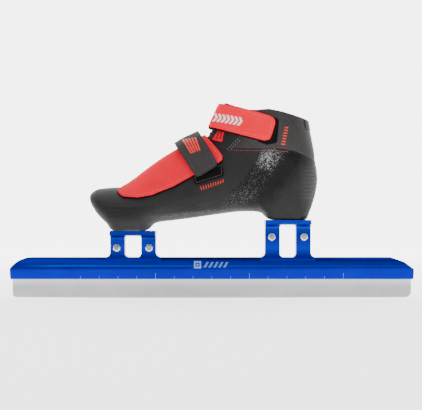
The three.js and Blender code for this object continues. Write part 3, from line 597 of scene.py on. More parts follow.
# Stations fan from the toe to the top of the shaft. At each one a section stands on the sole rail
# and ends at the instep rail. All values are in millimetres in the side view.
bootForm = {
    "sole": [
        (-130.3, 109.1), (-128.2, 101.1), (-122.3, 91.5), (-113.2, 82.1), (-102, 72.8), (-87.5, 72.5),
        (-73.1, 73.1), (-58.6, 81), (-39.4, 83.7), (-16.9, 86.7), (6.6, 90.1), (30.2, 92.9),
        (50.5, 92.2), (64.4, 85.2), (83.7, 84.2), (99.2, 84.9), (107.9, 102.2), (112.8, 127.3),
        (108.8, 156.2), (102.6, 188.9), (98.6, 213)],
    "instep": [
        (-130.3, 109.1), (-128.6, 112.6), (-122.8, 116.6), (-114.3, 118), (-104.6, 118.8),
        (-91.8, 119.6), (-80, 125.4), (-67.2, 133.1), (-53.3, 141.8), (-38.3, 151.1), (-25.5, 158.6),
        (-14.8, 163.7), (-6.8, 168.2), (-1.2, 175.4), (3, 182.6), (5.6, 188.3), (7.9, 193),
        (9.7, 197.3), (11.4, 201), (13.2, 204.7), (17.5, 213.8)],
    "lateral": [0, 17, 28, 36.5, 42, 45.5, 47, 46, 43, 39.5, 37, 35.5, 34.5, 33.5, 33, 33, 33.5, 35,
                36, 36.5, 36.5],
    "medial": [0, 20, 31, 38, 42.5, 44.5, 44.5, 42.5, 39, 36, 34, 33.5, 33, 32.5, 32.5, 33, 33.5, 35,
               36, 36.5, 36.5],
    "lowness": [1, 0.8, 0.68, 0.62, 0.6, 0.6, 0.6, 0.62, 0.62, 0.62, 0.64, 0.68, 0.72, 0.74, 0.76,
                0.8, 0.9, 1, 1.05, 1.05, 1.05],
    "squareness": [0.5, 0.5, 0.52, 0.54, 0.55, 0.56, 0.58, 0.6, 0.62, 0.62, 0.6, 0.58, 0.56, 0.54,
                   0.52, 0.52, 0.52, 0.54, 0.56, 0.56, 0.56],
    "wall": 3.6,
}


# a smooth curve through evenly spaced values, at every place in t
def smoothTrack(values, t):
    values = np.asarray(values, float)
    t = np.clip(np.asarray(t, float), 0, len(values) - 1)
    i = np.minimum(t.astype(int), len(values) - 2)
    w = t - i
    if values.ndim > 1:
        w = w[..., None]
    before, after = values[np.maximum(i - 1, 0)], values[np.minimum(i + 2, len(values) - 1)]
    a, b = values[i], values[i + 1]
    tangentA, tangentB = (b - before) / 2, (after - a) / 2
    return ((2 * a - 2 * b + tangentA + tangentB) * w ** 3
            + (-3 * a + 3 * b - 2 * tangentA - tangentB) * w ** 2 + tangentA * w + a)


# points round the section at station t: sole, lateral side, instep, medial side, sole
def sectionRing(t, count):
    foot, head = smoothTrack(bootForm["sole"], t), smoothTrack(bootForm["instep"], t)
    low, square = smoothTrack(bootForm["lowness"], t), smoothTrack(bootForm["squareness"], t)
    v = (1 - np.cos(np.pi * np.arange(129) / 128)) / 2
    shape = np.maximum(np.sin(np.pi * v ** low), 0) ** square
    sides = []
    for name, sign in (("lateral", -1), ("medial", 1)):
        y = sign * max(float(smoothTrack(bootForm[name], t)), 0) * shape
        points = np.stack([foot[0] + (head[0] - foot[0]) * v, y, foot[1] + (head[1] - foot[1]) * v], 1)
        steps = np.linalg.norm(np.diff(points, axis=0), axis=1)
        along = np.concatenate([[0], np.cumsum(steps)])
        wanted = np.linspace(0, along[-1], count // 2 + 1)
        sides.append(np.stack([np.interp(wanted, along, points[:, i]) for i in range(3)], 1))
    return np.concatenate([sides[0], sides[1][::-1][1:]])


def surfaceTable(tFrom, tTo, steps, count):
    times = np.linspace(tFrom, tTo, steps + 1)
    rings = np.array([sectionRing(t, count) for t in times])
    alongT = np.gradient(rings, axis=0)
    closed = np.concatenate([rings[:, -2:-1], rings, rings[:, 1:2]], axis=1)
    aroundS = closed[:, 2:] - closed[:, :-2]
    normals = np.cross(alongT, aroundS)
    normals /= np.maximum(np.linalg.norm(normals, axis=2, keepdims=True), 1e-9)
    return times, rings, normals


# the boot's outer form as an open sheet, grown by grow(t, s) millimetres; s is 0.5 on the instep
def skin(grow, tFrom=0.04, tTo=20.0, steps=200, count=144):
    times, rings, normals = surfaceTable(tFrom, tTo, steps, count)
    share = np.linspace(0, 1, count + 1)
    away = np.array([[grow(t, s) for s in share] for t in times])
    places = (rings + normals * away[..., None]) * mm
    middle = np.concatenate([[0], np.cumsum(np.linalg.norm(np.diff(places.mean(axis=1), axis=0), axis=1))])
    girth = np.concatenate([np.zeros((steps + 1, 1)),
                            np.cumsum(np.linalg.norm(np.diff(places, axis=1), axis=2), axis=1)], axis=1)
    bm = bmesh.new()
    bmesh.ops.create_grid(bm, x_segments=steps, y_segments=count, size=1)
    cloth = bm.loops.layers.uv.new("cloth")
    spots = {}
    for vert in bm.verts:
        spots[vert] = (round((vert.co.x + 1) / 2 * steps), round((vert.co.y + 1) / 2 * count))
    for face in bm.faces:
        for loop in face.loops:
            i, k = spots[loop.vert]
            loop[cloth].uv = (middle[i], girth[i][k] - girth[i][-1] / 2)
    for vert, (i, k) in spots.items():
        vert.co = places[i][k]
    bmesh.ops.remove_doubles(bm, verts=bm.verts, dist=2e-6)
    bmesh.ops.recalc_face_normals(bm, faces=bm.faces)
    widest = max(bm.faces, key=lambda face: -face.calc_center_median().y)
    if widest.normal.y > 0:
        bmesh.ops.reverse_faces(bm, faces=bm.faces)
    return bm


# an outline with its corners rounded: each point is (x, z) or (x, z, radius)
def rounded(points, steps=6):
    line = []
    for i, point in enumerate(points):
        here = Vector(point[:2])
        if len(point) < 3:
            line.append(here)
            continue
        back = (Vector(points[i - 1][:2]) - here).normalized()
        on = (Vector(points[(i + 1) % len(points)][:2]) - here).normalized()
        half = back.angle(on) / 2
        run = point[2] / math.tan(half)
        centre = here + (back + on).normalized() * (point[2] / math.sin(half))
        first, last = here + back * run - centre, here + on * run - centre
        turn = first.angle_signed(last)
        for k in range(steps + 1):
            a = -turn * k / steps
            line.append(centre + Vector((first.x * math.cos(a) - first.y * math.sin(a),
                                         first.x * math.sin(a) + first.y * math.cos(a))))
    return line


def inside(outline, x, z):
    hit = False
    for a, b in zip(outline, outline[1:] + outline[:1]):
        if (a.y > z) != (b.y > z) and x < (b.x - a.x) * (z - a.y) / (b.y - a.y) + a.x:
            hit = not hit
    return hit


# cuts the sheet along an outline in the side view and keeps what is inside it (or outside)
def cutTo(bm, outline, yFrom=None, yTo=None, keepInside=True):
    for y, away in ((yFrom, -1), (yTo, 1)):
        if y is not None:
            geometry = bm.verts[:] + bm.edges[:] + bm.faces[:]
            bmesh.ops.bisect_plane(bm, geom=geometry, dist=1e-7, plane_co=(0, y * mm, 0),
                                   plane_no=(0, away, 0), clear_outer=True)
    line = [Vector((p[0], p[1])) * mm for p in outline]
    margin = 2.5 * mm
    for a, b in zip(line, line[1:] + line[:1]):
        if (b - a).length < 1e-6:
            continue
        low = (min(a.x, b.x) - margin, min(a.y, b.y) - margin)
        high = (max(a.x, b.x) + margin, max(a.y, b.y) + margin)
        near = [f for f in bm.faces
                if low[0] < f.verts[0].co.x < high[0] and low[1] < f.verts[0].co.z < high[1]]
        if not near:
            continue
        geometry = list({v for f in near for v in f.verts}) + list({e for f in near for e in f.edges}) + near
        across = Vector((b.y - a.y, 0, a.x - b.x)).normalized()
        bmesh.ops.bisect_plane(bm, geom=geometry, dist=1e-6, plane_co=(a.x, 0, a.y), plane_no=across)
    gone = []
    for face in bm.faces:
        centre = face.calc_center_median()
        if inside(line, centre.x, centre.z) != keepInside:
            gone.append(face)
    bmesh.ops.delete(bm, geom=gone, context="FACES")
    return bm


# a wall from an open sheet: thickness in millimetres, inward unless it is said, with round rims
def finishSheet(name, bm, material, thickness, rim, outward=False):
    bmesh.ops.remove_doubles(bm, verts=bm.verts, dist=1e-5)
    piece = meshObject(name, bm, material)
    addModifier(piece, "SOLIDIFY", thickness=thickness * mm, offset=1 if outward else -1,
                use_even_offset=False)
    addModifier(piece, "BEVEL", width=rim * mm, segments=3, limit_method="ANGLE",
                angle_limit=math.radians(60), harden_normals=False)
    return piece


seams = {
    "heel": [(52.4, 158.6), (67.3, 158.7), (86.9, 155.9), (100, 151), (111.5, 145.2), (122, 140)],
    "bite": [(-142, 99), (-118, 98), (-88, 97.4), (-55, 98.5), (-23, 101), (-1, 103.9), (13.5, 109.7),
             (27.1, 118.9), (36.8, 131), (44.6, 144.6)],
    "cuffFront": [(34, 218), (33.5, 178), (15.5, 159.4)],
    "collar": [(-30, 199), (11, 200.5), (24, 200.5), (45.7, 198.9), (59.3, 200), (73.9, 197.4),
               (93.8, 192.6), (98.5, 191.4), (122, 186.5)],
    "throat": [(-57, 134, 3), (-48, 138), (-31, 146), (-17, 154), (-5, 159), (4, 165), (10, 176), (15, 188),
               (26, 210), (26, 240), (-57, 240)],
    "throatHalf": 10,
}
shellOutline = seams["bite"] + seams["heel"] + [(140, 140), (140, 40), (-142, 40)]
cuffOutline = seams["cuffFront"] + seams["heel"] + [(140, 140), (140, 240), (34, 240)]
belowCollar = seams["collar"] + [(140, 186), (140, 40), (-150, 40), (-150, 201.5)]


def shifted(outline, dx, dz):
    return [(p[0] + dx, p[1] + dz) for p in outline]


def smoothStep(x):
    x = min(max(x, 0.0), 1.0)
    return x * x * (3 - 2 * x)


# 0 to 1 from a place on over a reach, and 1 to 0 up to a place over a reach
def rising(value, start, reach):
    return smoothStep((value - start) / reach)


def falling(value, end, reach):
    return smoothStep((end - value) / reach)


# distance in the side view from a point to an open line of (x, z) points
def edgeDistance(line, x, z):
    best = 1e9
    for a, b in zip(line, line[1:]):
        dx, dz = b[0] - a[0], b[1] - a[1]
        share = min(max(((x - a[0]) * dx + (z - a[1]) * dz) / (dx * dx + dz * dz + 1e-12), 0), 1)
        best = min(best, math.hypot(a[0] + dx * share - x, a[1] + dz * share - z))
    return best


# moves each vertex along its normal by height(x, y, z) millimetres
def relief(bm, height):
    bm.normal_update()
    for vert in bm.verts:
        x, y, z = vert.co / mm
        vert.co += vert.normal * (height(x, y, z) * mm)


def groove(distance, depth, width):
    return -depth * math.exp(-(distance / width) ** 2)


shell = {
    "seats": [(-84, 72.4), (81, 84.1)], "seatGap": 0.12,
    "padReach": 27, "padRound": 7, "ribPitch": 4.1, "ribHeight": 0.3, "ribX": (93, 6), "ribLow": (98, 6),
    "ribHigh": (148, 5), "rollIn": 2.4, "rollDepth": 0.25, "rollWidth": 0.8, "rim": 0.5,
}


# the two pads under the sole are flat, with steep sides, where they stand on the cups
def flattenPads(bm):
    for vert in bm.verts:
        for x, cupTop in shell["seats"]:
            top = cupTop + shell["seatGap"]
            height = vert.co.z / mm - top
            if abs(vert.co.x / mm - x) < shell["padReach"] and height < shell["padRound"]:
                height = max(height, 0)
                vert.co.z = (top + height * height / shell["padRound"]) * mm


# moulded ribs round the back of the heel, and a rolled edge along the top of the shell
def shellRelief(x, y, z):
    behind = rising(x, *shell["ribX"]) * rising(z, *shell["ribLow"]) * falling(z, *shell["ribHigh"])
    ribs = shell["ribHeight"] * math.sin(2 * math.pi * z / shell["ribPitch"]) * behind
    fromEdge = edgeDistance(seams["bite"] + seams["heel"][1:], x, z)
    return ribs + groove(fromEdge - shell["rollIn"], shell["rollDepth"], shell["rollWidth"])


def makeShell():
    bm = cutTo(skin(lambda t, s: 0.0, steps=260, count=160), shellOutline)
    flattenPads(bm)
    relief(bm, shellRelief)
    piece = finishSheet("carbon_shell", bm, finishes["carbon"], bootForm["wall"], shell["rim"])
    return settle(piece, "skate", "carbon_shell", "boot_shell")


upper = {
    "creases": [[(-74, 100), (-70, 110), (-66, 119)], [(-62, 99), (-57, 109), (-52, 118)],
                [(-50, 101), (-44, 110), (-37, 119)]],
    "creaseDepth": 0.35, "creaseWidth": 2.6, "seamIn": 2.6, "seamDepth": 0.18, "seamWidth": 0.7, "rim": 0.9,
    "gap": 0.15,
}


def upperRelief(x, y, z):
    fromSeam = edgeDistance(seams["bite"], x, z) - upper["seamIn"]
    depth = groove(fromSeam, upper["seamDepth"], upper["seamWidth"])
    for line in upper["creases"]:
        depth += groove(edgeDistance(line, x, z), upper["creaseDepth"], upper["creaseWidth"])
    return depth


def openThroat(bm):
    line = [p * mm for p in rounded(seams["throat"])]
    half = seams["throatHalf"] * mm
    for sign in (-1, 1):
        geometry = bm.verts[:] + bm.edges[:] + bm.faces[:]
        bmesh.ops.bisect_plane(bm, geom=geometry, dist=1e-7, plane_co=(0, sign * half, 0), plane_no=(0, 1, 0))
    gone = [f for f in bm.faces if abs(f.calc_center_median().y) < half
            and inside(line, f.calc_center_median().x, f.calc_center_median().z)]
    bmesh.ops.delete(bm, geom=gone, context="FACES")


def makeUpper():
    bm = cutTo(skin(lambda t, s: 0.0, steps=220), belowCollar)
    cutTo(bm, shifted(shellOutline, -upper["gap"], upper["gap"]), keepInside=False)
    cutTo(bm, cuffOutline, keepInside=False)
    openThroat(bm)
    relief(bm, upperRelief)
    piece = finishSheet("boot_upper_leather", bm, finishes["leather"], bootForm["wall"], upper["rim"])
    return settle(piece, "skate", "black_leather", "boot_upper")


cuff = {
    "grow": 0.1, "gap": 0.15, "swell": 0.9, "swellReach": 9, "sink": 0.3, "rollIn": 7.5, "rollDepth": 0.5,
    "rollWidth": 1.6, "thickness": 3.4, "rim": 1.2, "fill": 0.7,
}


# a padded cuff: it swells a little between its seams and its collar
def cuffRelief(x, y, z):
    fromCollar = edgeDistance(seams["collar"], x, z)
    fromEdge = min(edgeDistance(seams["heel"], x, z), edgeDistance(seams["cuffFront"], x, z), fromCollar)
    roll = groove(fromCollar - cuff["rollIn"], cuff["rollDepth"], cuff["rollWidth"])
    return cuff["swell"] * smoothStep(fromEdge / cuff["swellReach"]) - cuff["sink"] + roll


def makeCuff():
    bm = cutTo(skin(lambda t, s: cuff["grow"], tFrom=9, steps=150), belowCollar)
    cutTo(bm, shifted(cuffOutline, cuff["gap"], cuff["gap"]))
    relief(bm, cuffRelief)
    piece = finishSheet("ankle_cuff_leather", bm, finishes["cuff"], cuff["thickness"], cuff["rim"])
    return settle(piece, "skate", "black_fabric", "ankle_cuff")


bootShell = makeShell()
bootUpper = makeUpper()
ankleCuff = makeCuff()
print("boot walls made")


# inside the boot
lining = {
    "inset": 4.3, "depth": 4.6, "rim": 1.9, "drop": 0.9, "quilt": 0.25, "quiltTurn": 0.55, "fill": 0.8,
    "outline": [(26, 230), (26, 172), (60, 166), (140, 156), (140, 230)],
}
tongue = {
    "depth": 4.4, "rim": 1.7, "half": 20.5, "grow": 0.2, "edgeDrop": 0.9, "edge": (13, 7), "fill": 0.7,
    "rise": 5.6, "riseHalf": (9.3, 4), "riseZ": (160, 9), "ridge": 0.3, "ridgeTurn": 1.1,
    "outline": [(-68, 120), (-52, 126), (-31, 140), (-14, 149), (3, 155), (14, 168), (20, 186),
                (25, 206, 3), (-2, 207.5, 3), (-24, 190), (-68, 160)],
}
insole = {"round": 0.9, "corner": 50, "smooth": 40, "flatness": 1, "fill": 1.0}


def liningRelief(x, y, z):
    return lining["quilt"] * (math.sin(x * lining["quiltTurn"]) * math.sin(z * lining["quiltTurn"]) - 1)


def makeLining():
    bm = skin(lambda t, s: -lining["inset"], tFrom=13, steps=80)
    cutTo(bm, shifted(belowCollar, 0, -lining["drop"]))
    cutTo(bm, lining["outline"])
    relief(bm, liningRelief)
    piece = finishSheet("collar_lining_pad", bm, finishes["knit"], lining["depth"], lining["rim"])
    return settle(piece, "skate", "lining_foam", "collar_lining")


# thin at the sides, full in the middle above the laces, and ribbed across
def tongueRelief(x, y, z):
    above = rising(z, *tongue["riseZ"])
    return (tongue["grow"] - tongue["edgeDrop"] * rising(abs(y), *tongue["edge"])
            + tongue["rise"] * falling(abs(y), *tongue["riseHalf"]) * above
            - tongue["ridge"] * math.cos(z * tongue["ridgeTurn"]) * above)


def makeTongue():
    bm = cutTo(skin(lambda t, s: -lining["inset"], tFrom=6.5, steps=150), rounded(tongue["outline"]),
               yFrom=-tongue["half"], yTo=tongue["half"])
    relief(bm, tongueRelief)
    piece = finishSheet("tongue_pad", bm, finishes["webbing"], tongue["depth"], tongue["rim"])
    return settle(piece, "skate", "black_fabric", "tongue")


def makeInsole():
    piece = meshObject("insole_board", mergedCopy("insole", insole["flatness"]), finishes["knit"],
                       smoothAngle=insole["smooth"])
    addModifier(piece, "BEVEL", width=insole["round"] * mm, segments=3, limit_method="ANGLE",
                angle_limit=math.radians(insole["corner"]))
    return settle(piece, "skate", "lining_foam", "insole")


makeLining()
makeTongue()
makeInsole()
print("inside made")


# laces and eyelets
lace = {"radius": 1.2, "side": 15.5, "pairs": 5, "from": 7.9, "to": 11.7, "rise": 2.6, "arch": 0.5,
        "steps": 8, "ringPoints": 192, "tStep": 0.1}
eyelet = {"profile": [(1.9, 0), (3.4, 0), (3.25, 0.45), (2.8, 0.81), (2.4, 0.9), (2.15, 0.72), (1.9, 0.45)],
          "lift": 0.3, "sides": 28}


# the point of the boot's upper surface at station t and width y, and its outward normal
def surfacePoint(t, y):
    before, here, after = [sectionRing(t + step, lace["ringPoints"])
                           for step in (-lace["tStep"], 0, lace["tStep"])]
    k = lace["ringPoints"] // 4
    while here[k + 1][1] < y:
        k += 1
    point = here[k] + (here[k + 1] - here[k]) * ((y - here[k][1]) / (here[k + 1][1] - here[k][1]))
    normal = Vector(np.cross(after[k] - before[k], here[k + 1] - here[k])).normalized()
    return Vector(point), normal if normal.z > 0 else -normal


def raised(t, y, arch):
    point, normal = surfacePoint(t, y)
    return (point + normal * (lace["rise"] + lace["arch"] * arch)) * mm


def laceTime(i):
    return lace["from"] + (lace["to"] - lace["from"]) * i / (lace["pairs"] - 1)


def crossing(tFrom, tTo, sign):
    shares = np.linspace(0, 1, lace["steps"] + 1)
    return [raised(tFrom + (tTo - tFrom) * u, sign * lace["side"] * (1 - 2 * u), math.sin(math.pi * u))
            for u in shares]


def makeLace():
    data = bpy.data.curves.new("lace_cord", "CURVE")
    data.dimensions, data.bevel_depth, data.bevel_resolution = "3D", lace["radius"] * mm, 4
    data.use_fill_caps = True
    strands = [crossing(laceTime(0), laceTime(0), 1)]
    for first in (0, 1):
        strand = []
        for i in range(1, lace["pairs"]):
            sign = -1 if (i - 1 + first) % 2 == 0 else 1
            strand += crossing(laceTime(i - 1), laceTime(i), sign)[1 if strand else 0:]
        strands.append(strand)
    for strand in strands:
        spline = data.splines.new("POLY")
        spline.points.add(len(strand) - 1)
        spline.points.foreach_set("co", [value for point in strand for value in (*point, 1)])
    data.materials.append(finishes["lace"])
    piece = bpy.data.objects.new("lace_cord", data)
    bpy.context.scene.collection.objects.link(piece)
    return settle(piece, "skate", "lace_fabric", "lace")


def makeEyelet(name, node, t, y):
    point, normal = surfacePoint(t, y)
    bm = bmesh.new()
    line = [bm.verts.new((radius * mm, 0, height * mm)) for radius, height in eyelet["profile"]]
    edges = [bm.edges.new(pair) for pair in zip(line, line[1:] + line[:1])]
    bmesh.ops.spin(bm, geom=line + edges, cent=(0, 0, 0), axis=(0, 0, 1), angle=2 * math.pi,
                   steps=eyelet["sides"], use_merge=True)
    bmesh.ops.remove_doubles(bm, verts=bm.verts, dist=1e-7)
    bmesh.ops.recalc_face_normals(bm, faces=bm.faces)
    turn = normal.to_track_quat("Z", "Y").to_matrix().to_4x4()
    place = Matrix.Translation((point + normal * eyelet["lift"]) * mm)
    bmesh.ops.transform(bm, matrix=place @ turn, verts=bm.verts)
    return settle(meshObject(name, bm, finishes["plated"]), "skate", "plated_steel", node)


makeLace()
for number in range(lace["pairs"]):
    for sideName, sign in (("lateral", -1), ("medial", 1)):
        makeEyelet(f"ring_{sideName}_{number + 1}", f"eyelet_{sideName}_{number + 1}", laceTime(number),
                   sign * lace["side"])
print("laces made")


# cover and straps
cover = {
    "thickness": 2.2, "gap": 0.5, "lift": 4.6, "bump": (4.4, 4), "bumpHalf": (0.2, 0.16), "dip": (13.3, 1.4),
    "root": 27, "span": (2.5, 15.5, 170), "seamDepth": 0.3, "backShadowShift": (0.5, -1.3),
    "outline": [(-100.5, 114.5, 3), (-93, 109, 6), (-77, 107.8), (-62.5, 110.3), (-39.5, 119.5),
                (-21.8, 129.5), (-2, 139.3), (7.2, 144, 4), (10.7, 147.2), (11.2, 150.6, 3), (6.8, 157),
                (-2, 167.5), (-16, 186), (-88, 186), (-91.5, 121.5, 3)],
}
instepBand = {
    "thickness": 3, "gap": 0.5, "lift": 3.6, "dip": (14.4, 2), "root": 21.5, "span": (6.5, 15.5, 130),
    "seamDepth": 0.5, "backShadowShift": (0.6, -0.8),
    "outline": [(-42, 169), (-19, 132.5), (-16, 129.3, 3), (-12, 130.3), (3.8, 140), (5.9, 142.9, 3),
                (4.3, 146.5), (-16.4, 182), (-30, 200)],
}
ankleBand = {
    "thickness": 2.2, "gap": 0.8, "lift": 4.2, "bumpHalf": (0.16, 0.14), "root": None,
    "span": (11, 20, 150), "seamDepth": 0.25, "backShadowShift": (0.9, -1.9),
    "outline": [(-24, 189), (-2.5, 183), (54.5, 167), (60.4, 168.2, 3), (63.6, 178), (66.4, 188.5, 6),
                (60, 192.5), (44, 197.5), (28, 202.5), (5, 208.5), (-24, 212)],
}
flap = {
    "faceFrom": 0.42, "faceShare": 0.58, "backShare": 0.38, "rim": 0.5, "backRim": 0.25, "seamIn": 3.0,
    "seamWidth": 0.6, "edgeDrop": 0.3, "edgeReach": 2, "points": 200, "backPoints": 120,
}


def overLaces(t, s):
    return falling(abs(s - 0.5), *cover["bumpHalf"]) * rising(t, *cover["bump"])


def coverUnder(t, s):
    return cover["gap"] + cover["lift"] * overLaces(t, s) * falling(t, *cover["dip"])


def strapUnder(t, s):
    return (cover["gap"] + cover["thickness"] + instepBand["gap"]
            + (cover["lift"] + instepBand["lift"]) * overLaces(t, s) * falling(t, *instepBand["dip"]))


def ankleUnder(t, s):
    return ankleBand["gap"] + ankleBand["lift"] * falling(abs(s - 0.5), *ankleBand["bumpHalf"])


def bend(piece, name):
    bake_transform(piece)
    return piece


# a flap of two layers: a face with a pressed border, and a very dark backing, shifted down so that its edge
# shows below the face as a painted shadow line
def makeFlap(name, form, under, look, bending, slot, *replaced):
    line = rounded(form["outline"])
    rim = [tuple(p) for p in line]
    tFrom, tTo, steps = form["span"]
    thickness = form["thickness"]

    def pressed(x, y, z):
        fromEdge = edgeDistance(rim, x, z)
        return (groove(fromEdge - flap["seamIn"], form["seamDepth"], flap["seamWidth"])
                - flap["edgeDrop"] * (1 - smoothStep(fromEdge / flap["edgeReach"])))

    bm = skin(lambda t, s: under(t, s) + thickness * flap["faceFrom"], tFrom, tTo, steps, flap["points"])
    cutTo(bm, line, yTo=form["root"])
    relief(bm, pressed)
    face = finishSheet(name, bm, finishes[look], thickness * flap["faceShare"], flap["rim"], outward=True)
    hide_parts(*replaced)
    bm = skin(under, tFrom, tTo, steps // 2, flap["backPoints"])
    cutTo(bm, rounded(shifted(form["outline"], *form["backShadowShift"])), yTo=form["root"])
    backing = finishSheet(f"{name}_backing", bm, finishes["loop"], thickness * flap["backShare"],
                          flap["backRim"], outward=True)
    bend(face, bending)
    bend(backing, bending)
    return face


laceCover = makeFlap("lace_cover_panel", cover, coverUnder, "red", "cover", "red_leather", "lace_cover")
instepStrap = makeFlap("instep_strap_band", instepBand, strapUnder, "webbing", "instep", "black_fabric",
                       "instep_strap")
ankleStrap = makeFlap("ankle_strap_band", ankleBand, ankleUnder, "red", "ankle", "red_leather",
                      "ankle_strap", "ankle_strap_anchor")
print("straps made")


# pads and the pull tab
pads = {
    "loop": {
        "span": (6.5, 13.5), "sides": (None, 0), "thickness": 1.4, "lift": 0.3,
        "outline": [(-20.5, 129.6, 2), (-17.1, 120.8, 2.5), (12.6, 130.4, 2.5), (11.6, 137.5, 2), (9.5, 144)],
    },
    "ankle": {
        "span": (11, 20), "sides": (None, 0), "thickness": 0.55, "lift": 0.62,
        "outline": [(50, 192, 3), (66.5, 190.5, 4), (69.5, 188, 3), (67.5, 164.5, 3), (57, 162.5, 3),
                    (48, 166)],
    },
    "heel": {
        "span": (17, 20), "sides": (-13, 13), "thickness": 0.9, "lift": 0.3,
        "outline": [(89, 181.5, 2), (120, 178), (120, 188), (90, 190.4, 2)],
    },
    "tab": {
        "span": (11, 18), "sides": (-24, -11), "thickness": 1.5, "lift": 0.3,
        "outline": [(0.8, 168.4, 1.5), (10.8, 166, 1.5), (14.2, 180.5, 1.5), (4.4, 182.5, 1.5)],
    },
}
padEdge = {"seamIn": 2.0, "seamDepth": 0.25, "seamWidth": 0.5, "rim": 0.4, "steps": 110, "points": 200}


def makePad(name, kind, look, slot, *replaced):
    form = pads[kind]
    line = rounded(form["outline"])
    rim = [tuple(p) for p in line]

    def pressed(x, y, z):
        return groove(edgeDistance(rim, x, z) - padEdge["seamIn"], padEdge["seamDepth"], padEdge["seamWidth"])

    bm = skin(lambda t, s: form["lift"], *form["span"], padEdge["steps"], padEdge["points"])
    cutTo(bm, line, *form["sides"])
    relief(bm, pressed)
    rimWidth = padEdge["rim"] * min(1, form["thickness"])
    piece = finishSheet(name, bm, finishes[look], form["thickness"], rimWidth, outward=True)
    return settle(piece, "skate", slot, *replaced)


loopPad = makePad("loop_pad_face", "loop", "loop", "black_fabric", "instep_loop_pad")
makePad("ankle_loop_pad", "ankle", "loop", "black_fabric")
makePad("heel_patch_face", "heel", "rubber", "black_fabric", "heel_patch")
tongueTab = makePad("tongue_tab_face", "tab", "red", "red_leather", "tongue_tab")
print("pads made")


# stitches and prints
thread = {"ahead": 0.4, "jump": 1.2, "height": 0.8, "lift": 0.25, "outside": -200}
ink = {"thickness": 0.12, "cell": 1.1, "lift": 0.02}


def surfaceOf(*pieces):
    bm = bmesh.new()
    for piece in pieces:
        ready = piece.evaluated_get(bpy.context.evaluated_depsgraph_get())
        bm.from_mesh(ready.to_mesh())
        ready.to_mesh_clear()
    tree = BVHTree.FromBMesh(bm)
    bm.free()
    return tree


# where a line across the skate first meets a surface, coming from the outer side
def hitSide(tree, x, z):
    return tree.ray_cast(Vector((x, thread["outside"], z)) * mm, Vector((0, 1, 0)))[:2]


def hold(piece, bending=None):
    if bending:
        return bend(piece, bending)
    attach(piece, "skate")
    return piece


# places at an even pitch along an outline in the side view, with the direction at each
def evenAlong(line, pitch):
    places = []
    spare = 0.0
    for a, b in zip(line, line[1:]):
        a, b = Vector(a[:2]), Vector(b[:2])
        length = (b - a).length
        while spare <= length and length > 0:
            places.append((a + (b - a) * (spare / length), (b - a).normalized()))
            spare += pitch
        spare -= length
    return places


def stitchRow(name, tree, line, material, bending=None, pitch=2.1, length=1.5, radius=0.26):
    bm = bmesh.new()
    for spot, heading in evenAlong(line, pitch):
        here, normal = hitSide(tree, spot.x, spot.y)
        step = heading * thread["ahead"]
        ahead = hitSide(tree, spot.x + step.x, spot.y + step.y)[0]
        if here is None or ahead is None or (ahead - here).length > thread["jump"] * mm:
            continue
        along = (ahead - here).normalized()
        out = (normal - along * normal.dot(along)).normalized()
        place = Matrix.Translation(here + out * radius * mm * thread["lift"])
        turn = Matrix((along, out.cross(along), out)).transposed().to_4x4()
        size = Matrix.Diagonal((length * mm / 2, radius * mm, radius * mm * thread["height"], 1))
        bmesh.ops.create_uvsphere(bm, u_segments=8, v_segments=6, radius=1, matrix=place @ turn @ size)
    return hold(meshObject(name, bm, finishes[material]), bending)


# thin printed shapes that follow a surface; every outline is convex
def printed(name, tree, outlines, material, bending=None):
    bm = bmesh.new()
    for outline in outlines:
        low = Vector((min(p[0] for p in outline), min(p[1] for p in outline)))
        high = Vector((max(p[0] for p in outline), max(p[1] for p in outline)))
        made = bmesh.new()
        size = high - low
        bmesh.ops.create_grid(made, x_segments=max(2, round(size.x / ink["cell"])),
                              y_segments=max(2, round(size.y / ink["cell"])), size=0.5)
        for vert in made.verts:
            vert.co = (low.x + (vert.co.x + 0.5) * size.x, 0, low.y + (vert.co.y + 0.5) * size.y)
        middle = sum((Vector((p[0], 0, p[1])) for p in outline), Vector()) / len(outline)
        for a, b in zip(outline, outline[1:] + outline[:1]):
            across = Vector((b[1] - a[1], 0, a[0] - b[0])).normalized()
            if across.dot(middle - Vector((a[0], 0, a[1]))) > 0:
                across = -across
            bmesh.ops.bisect_plane(made, geom=made.verts[:] + made.edges[:] + made.faces[:], dist=1e-4,
                                   plane_co=(a[0], 0, a[1]), plane_no=across, clear_outer=True)
        lost = []
        for vert in made.verts:
            place, normal = hitSide(tree, vert.co.x, vert.co.z)
            if place is None:
                lost.append(vert)
                continue
            vert.co = place + normal * ink["lift"] * mm
        bmesh.ops.delete(made, geom=lost, context="VERTS")
        scrap = bpy.data.meshes.new("scrap")
        made.to_mesh(scrap)
        made.free()
        bm.from_mesh(scrap)
        bpy.data.meshes.remove(scrap)
    bmesh.ops.recalc_face_normals(bm, faces=bm.faces)
    if sum(f.normal.y for f in bm.faces) > 0:
        bmesh.ops.reverse_faces(bm, faces=bm.faces)
    piece = meshObject(name, bm, finishes[material])
    addModifier(piece, "SOLIDIFY", thickness=ink["thickness"] * mm, offset=1)
    return hold(piece, bending)


# a line that runs inside an outline at a distance from its edge
def insetLine(outline, distance):
    line = rounded(outline)
    turn = sum(a.x * b.y - b.x * a.y for a, b in zip(line, line[1:] + line[:1]))
    moved = []
    for i, point in enumerate(line):
        back, on = line[i - 1], line[(i + 1) % len(line)]
        along = (on - back).normalized()
        inward = Vector((-along.y, along.x)) * (1 if turn > 0 else -1)
        moved.append(point + inward * distance)
    kept = [p for p in moved if min((p - q).length for q in line) > distance * 0.9]
    return kept + kept[:1]


# a row of bars that stand on one line and reach another; fill is the share of the row they cover
def barsBetween(low, high, count, fill):
    bars = []
    for i in range(count):
        corners = []
        for (first, last), share in ((low, i), (low, i + fill), (high, i + fill), (high, i)):
            corners.append(tuple(Vector(first).lerp(Vector(last), share / (count - 1 + fill))))
        bars.append(corners)
    return bars


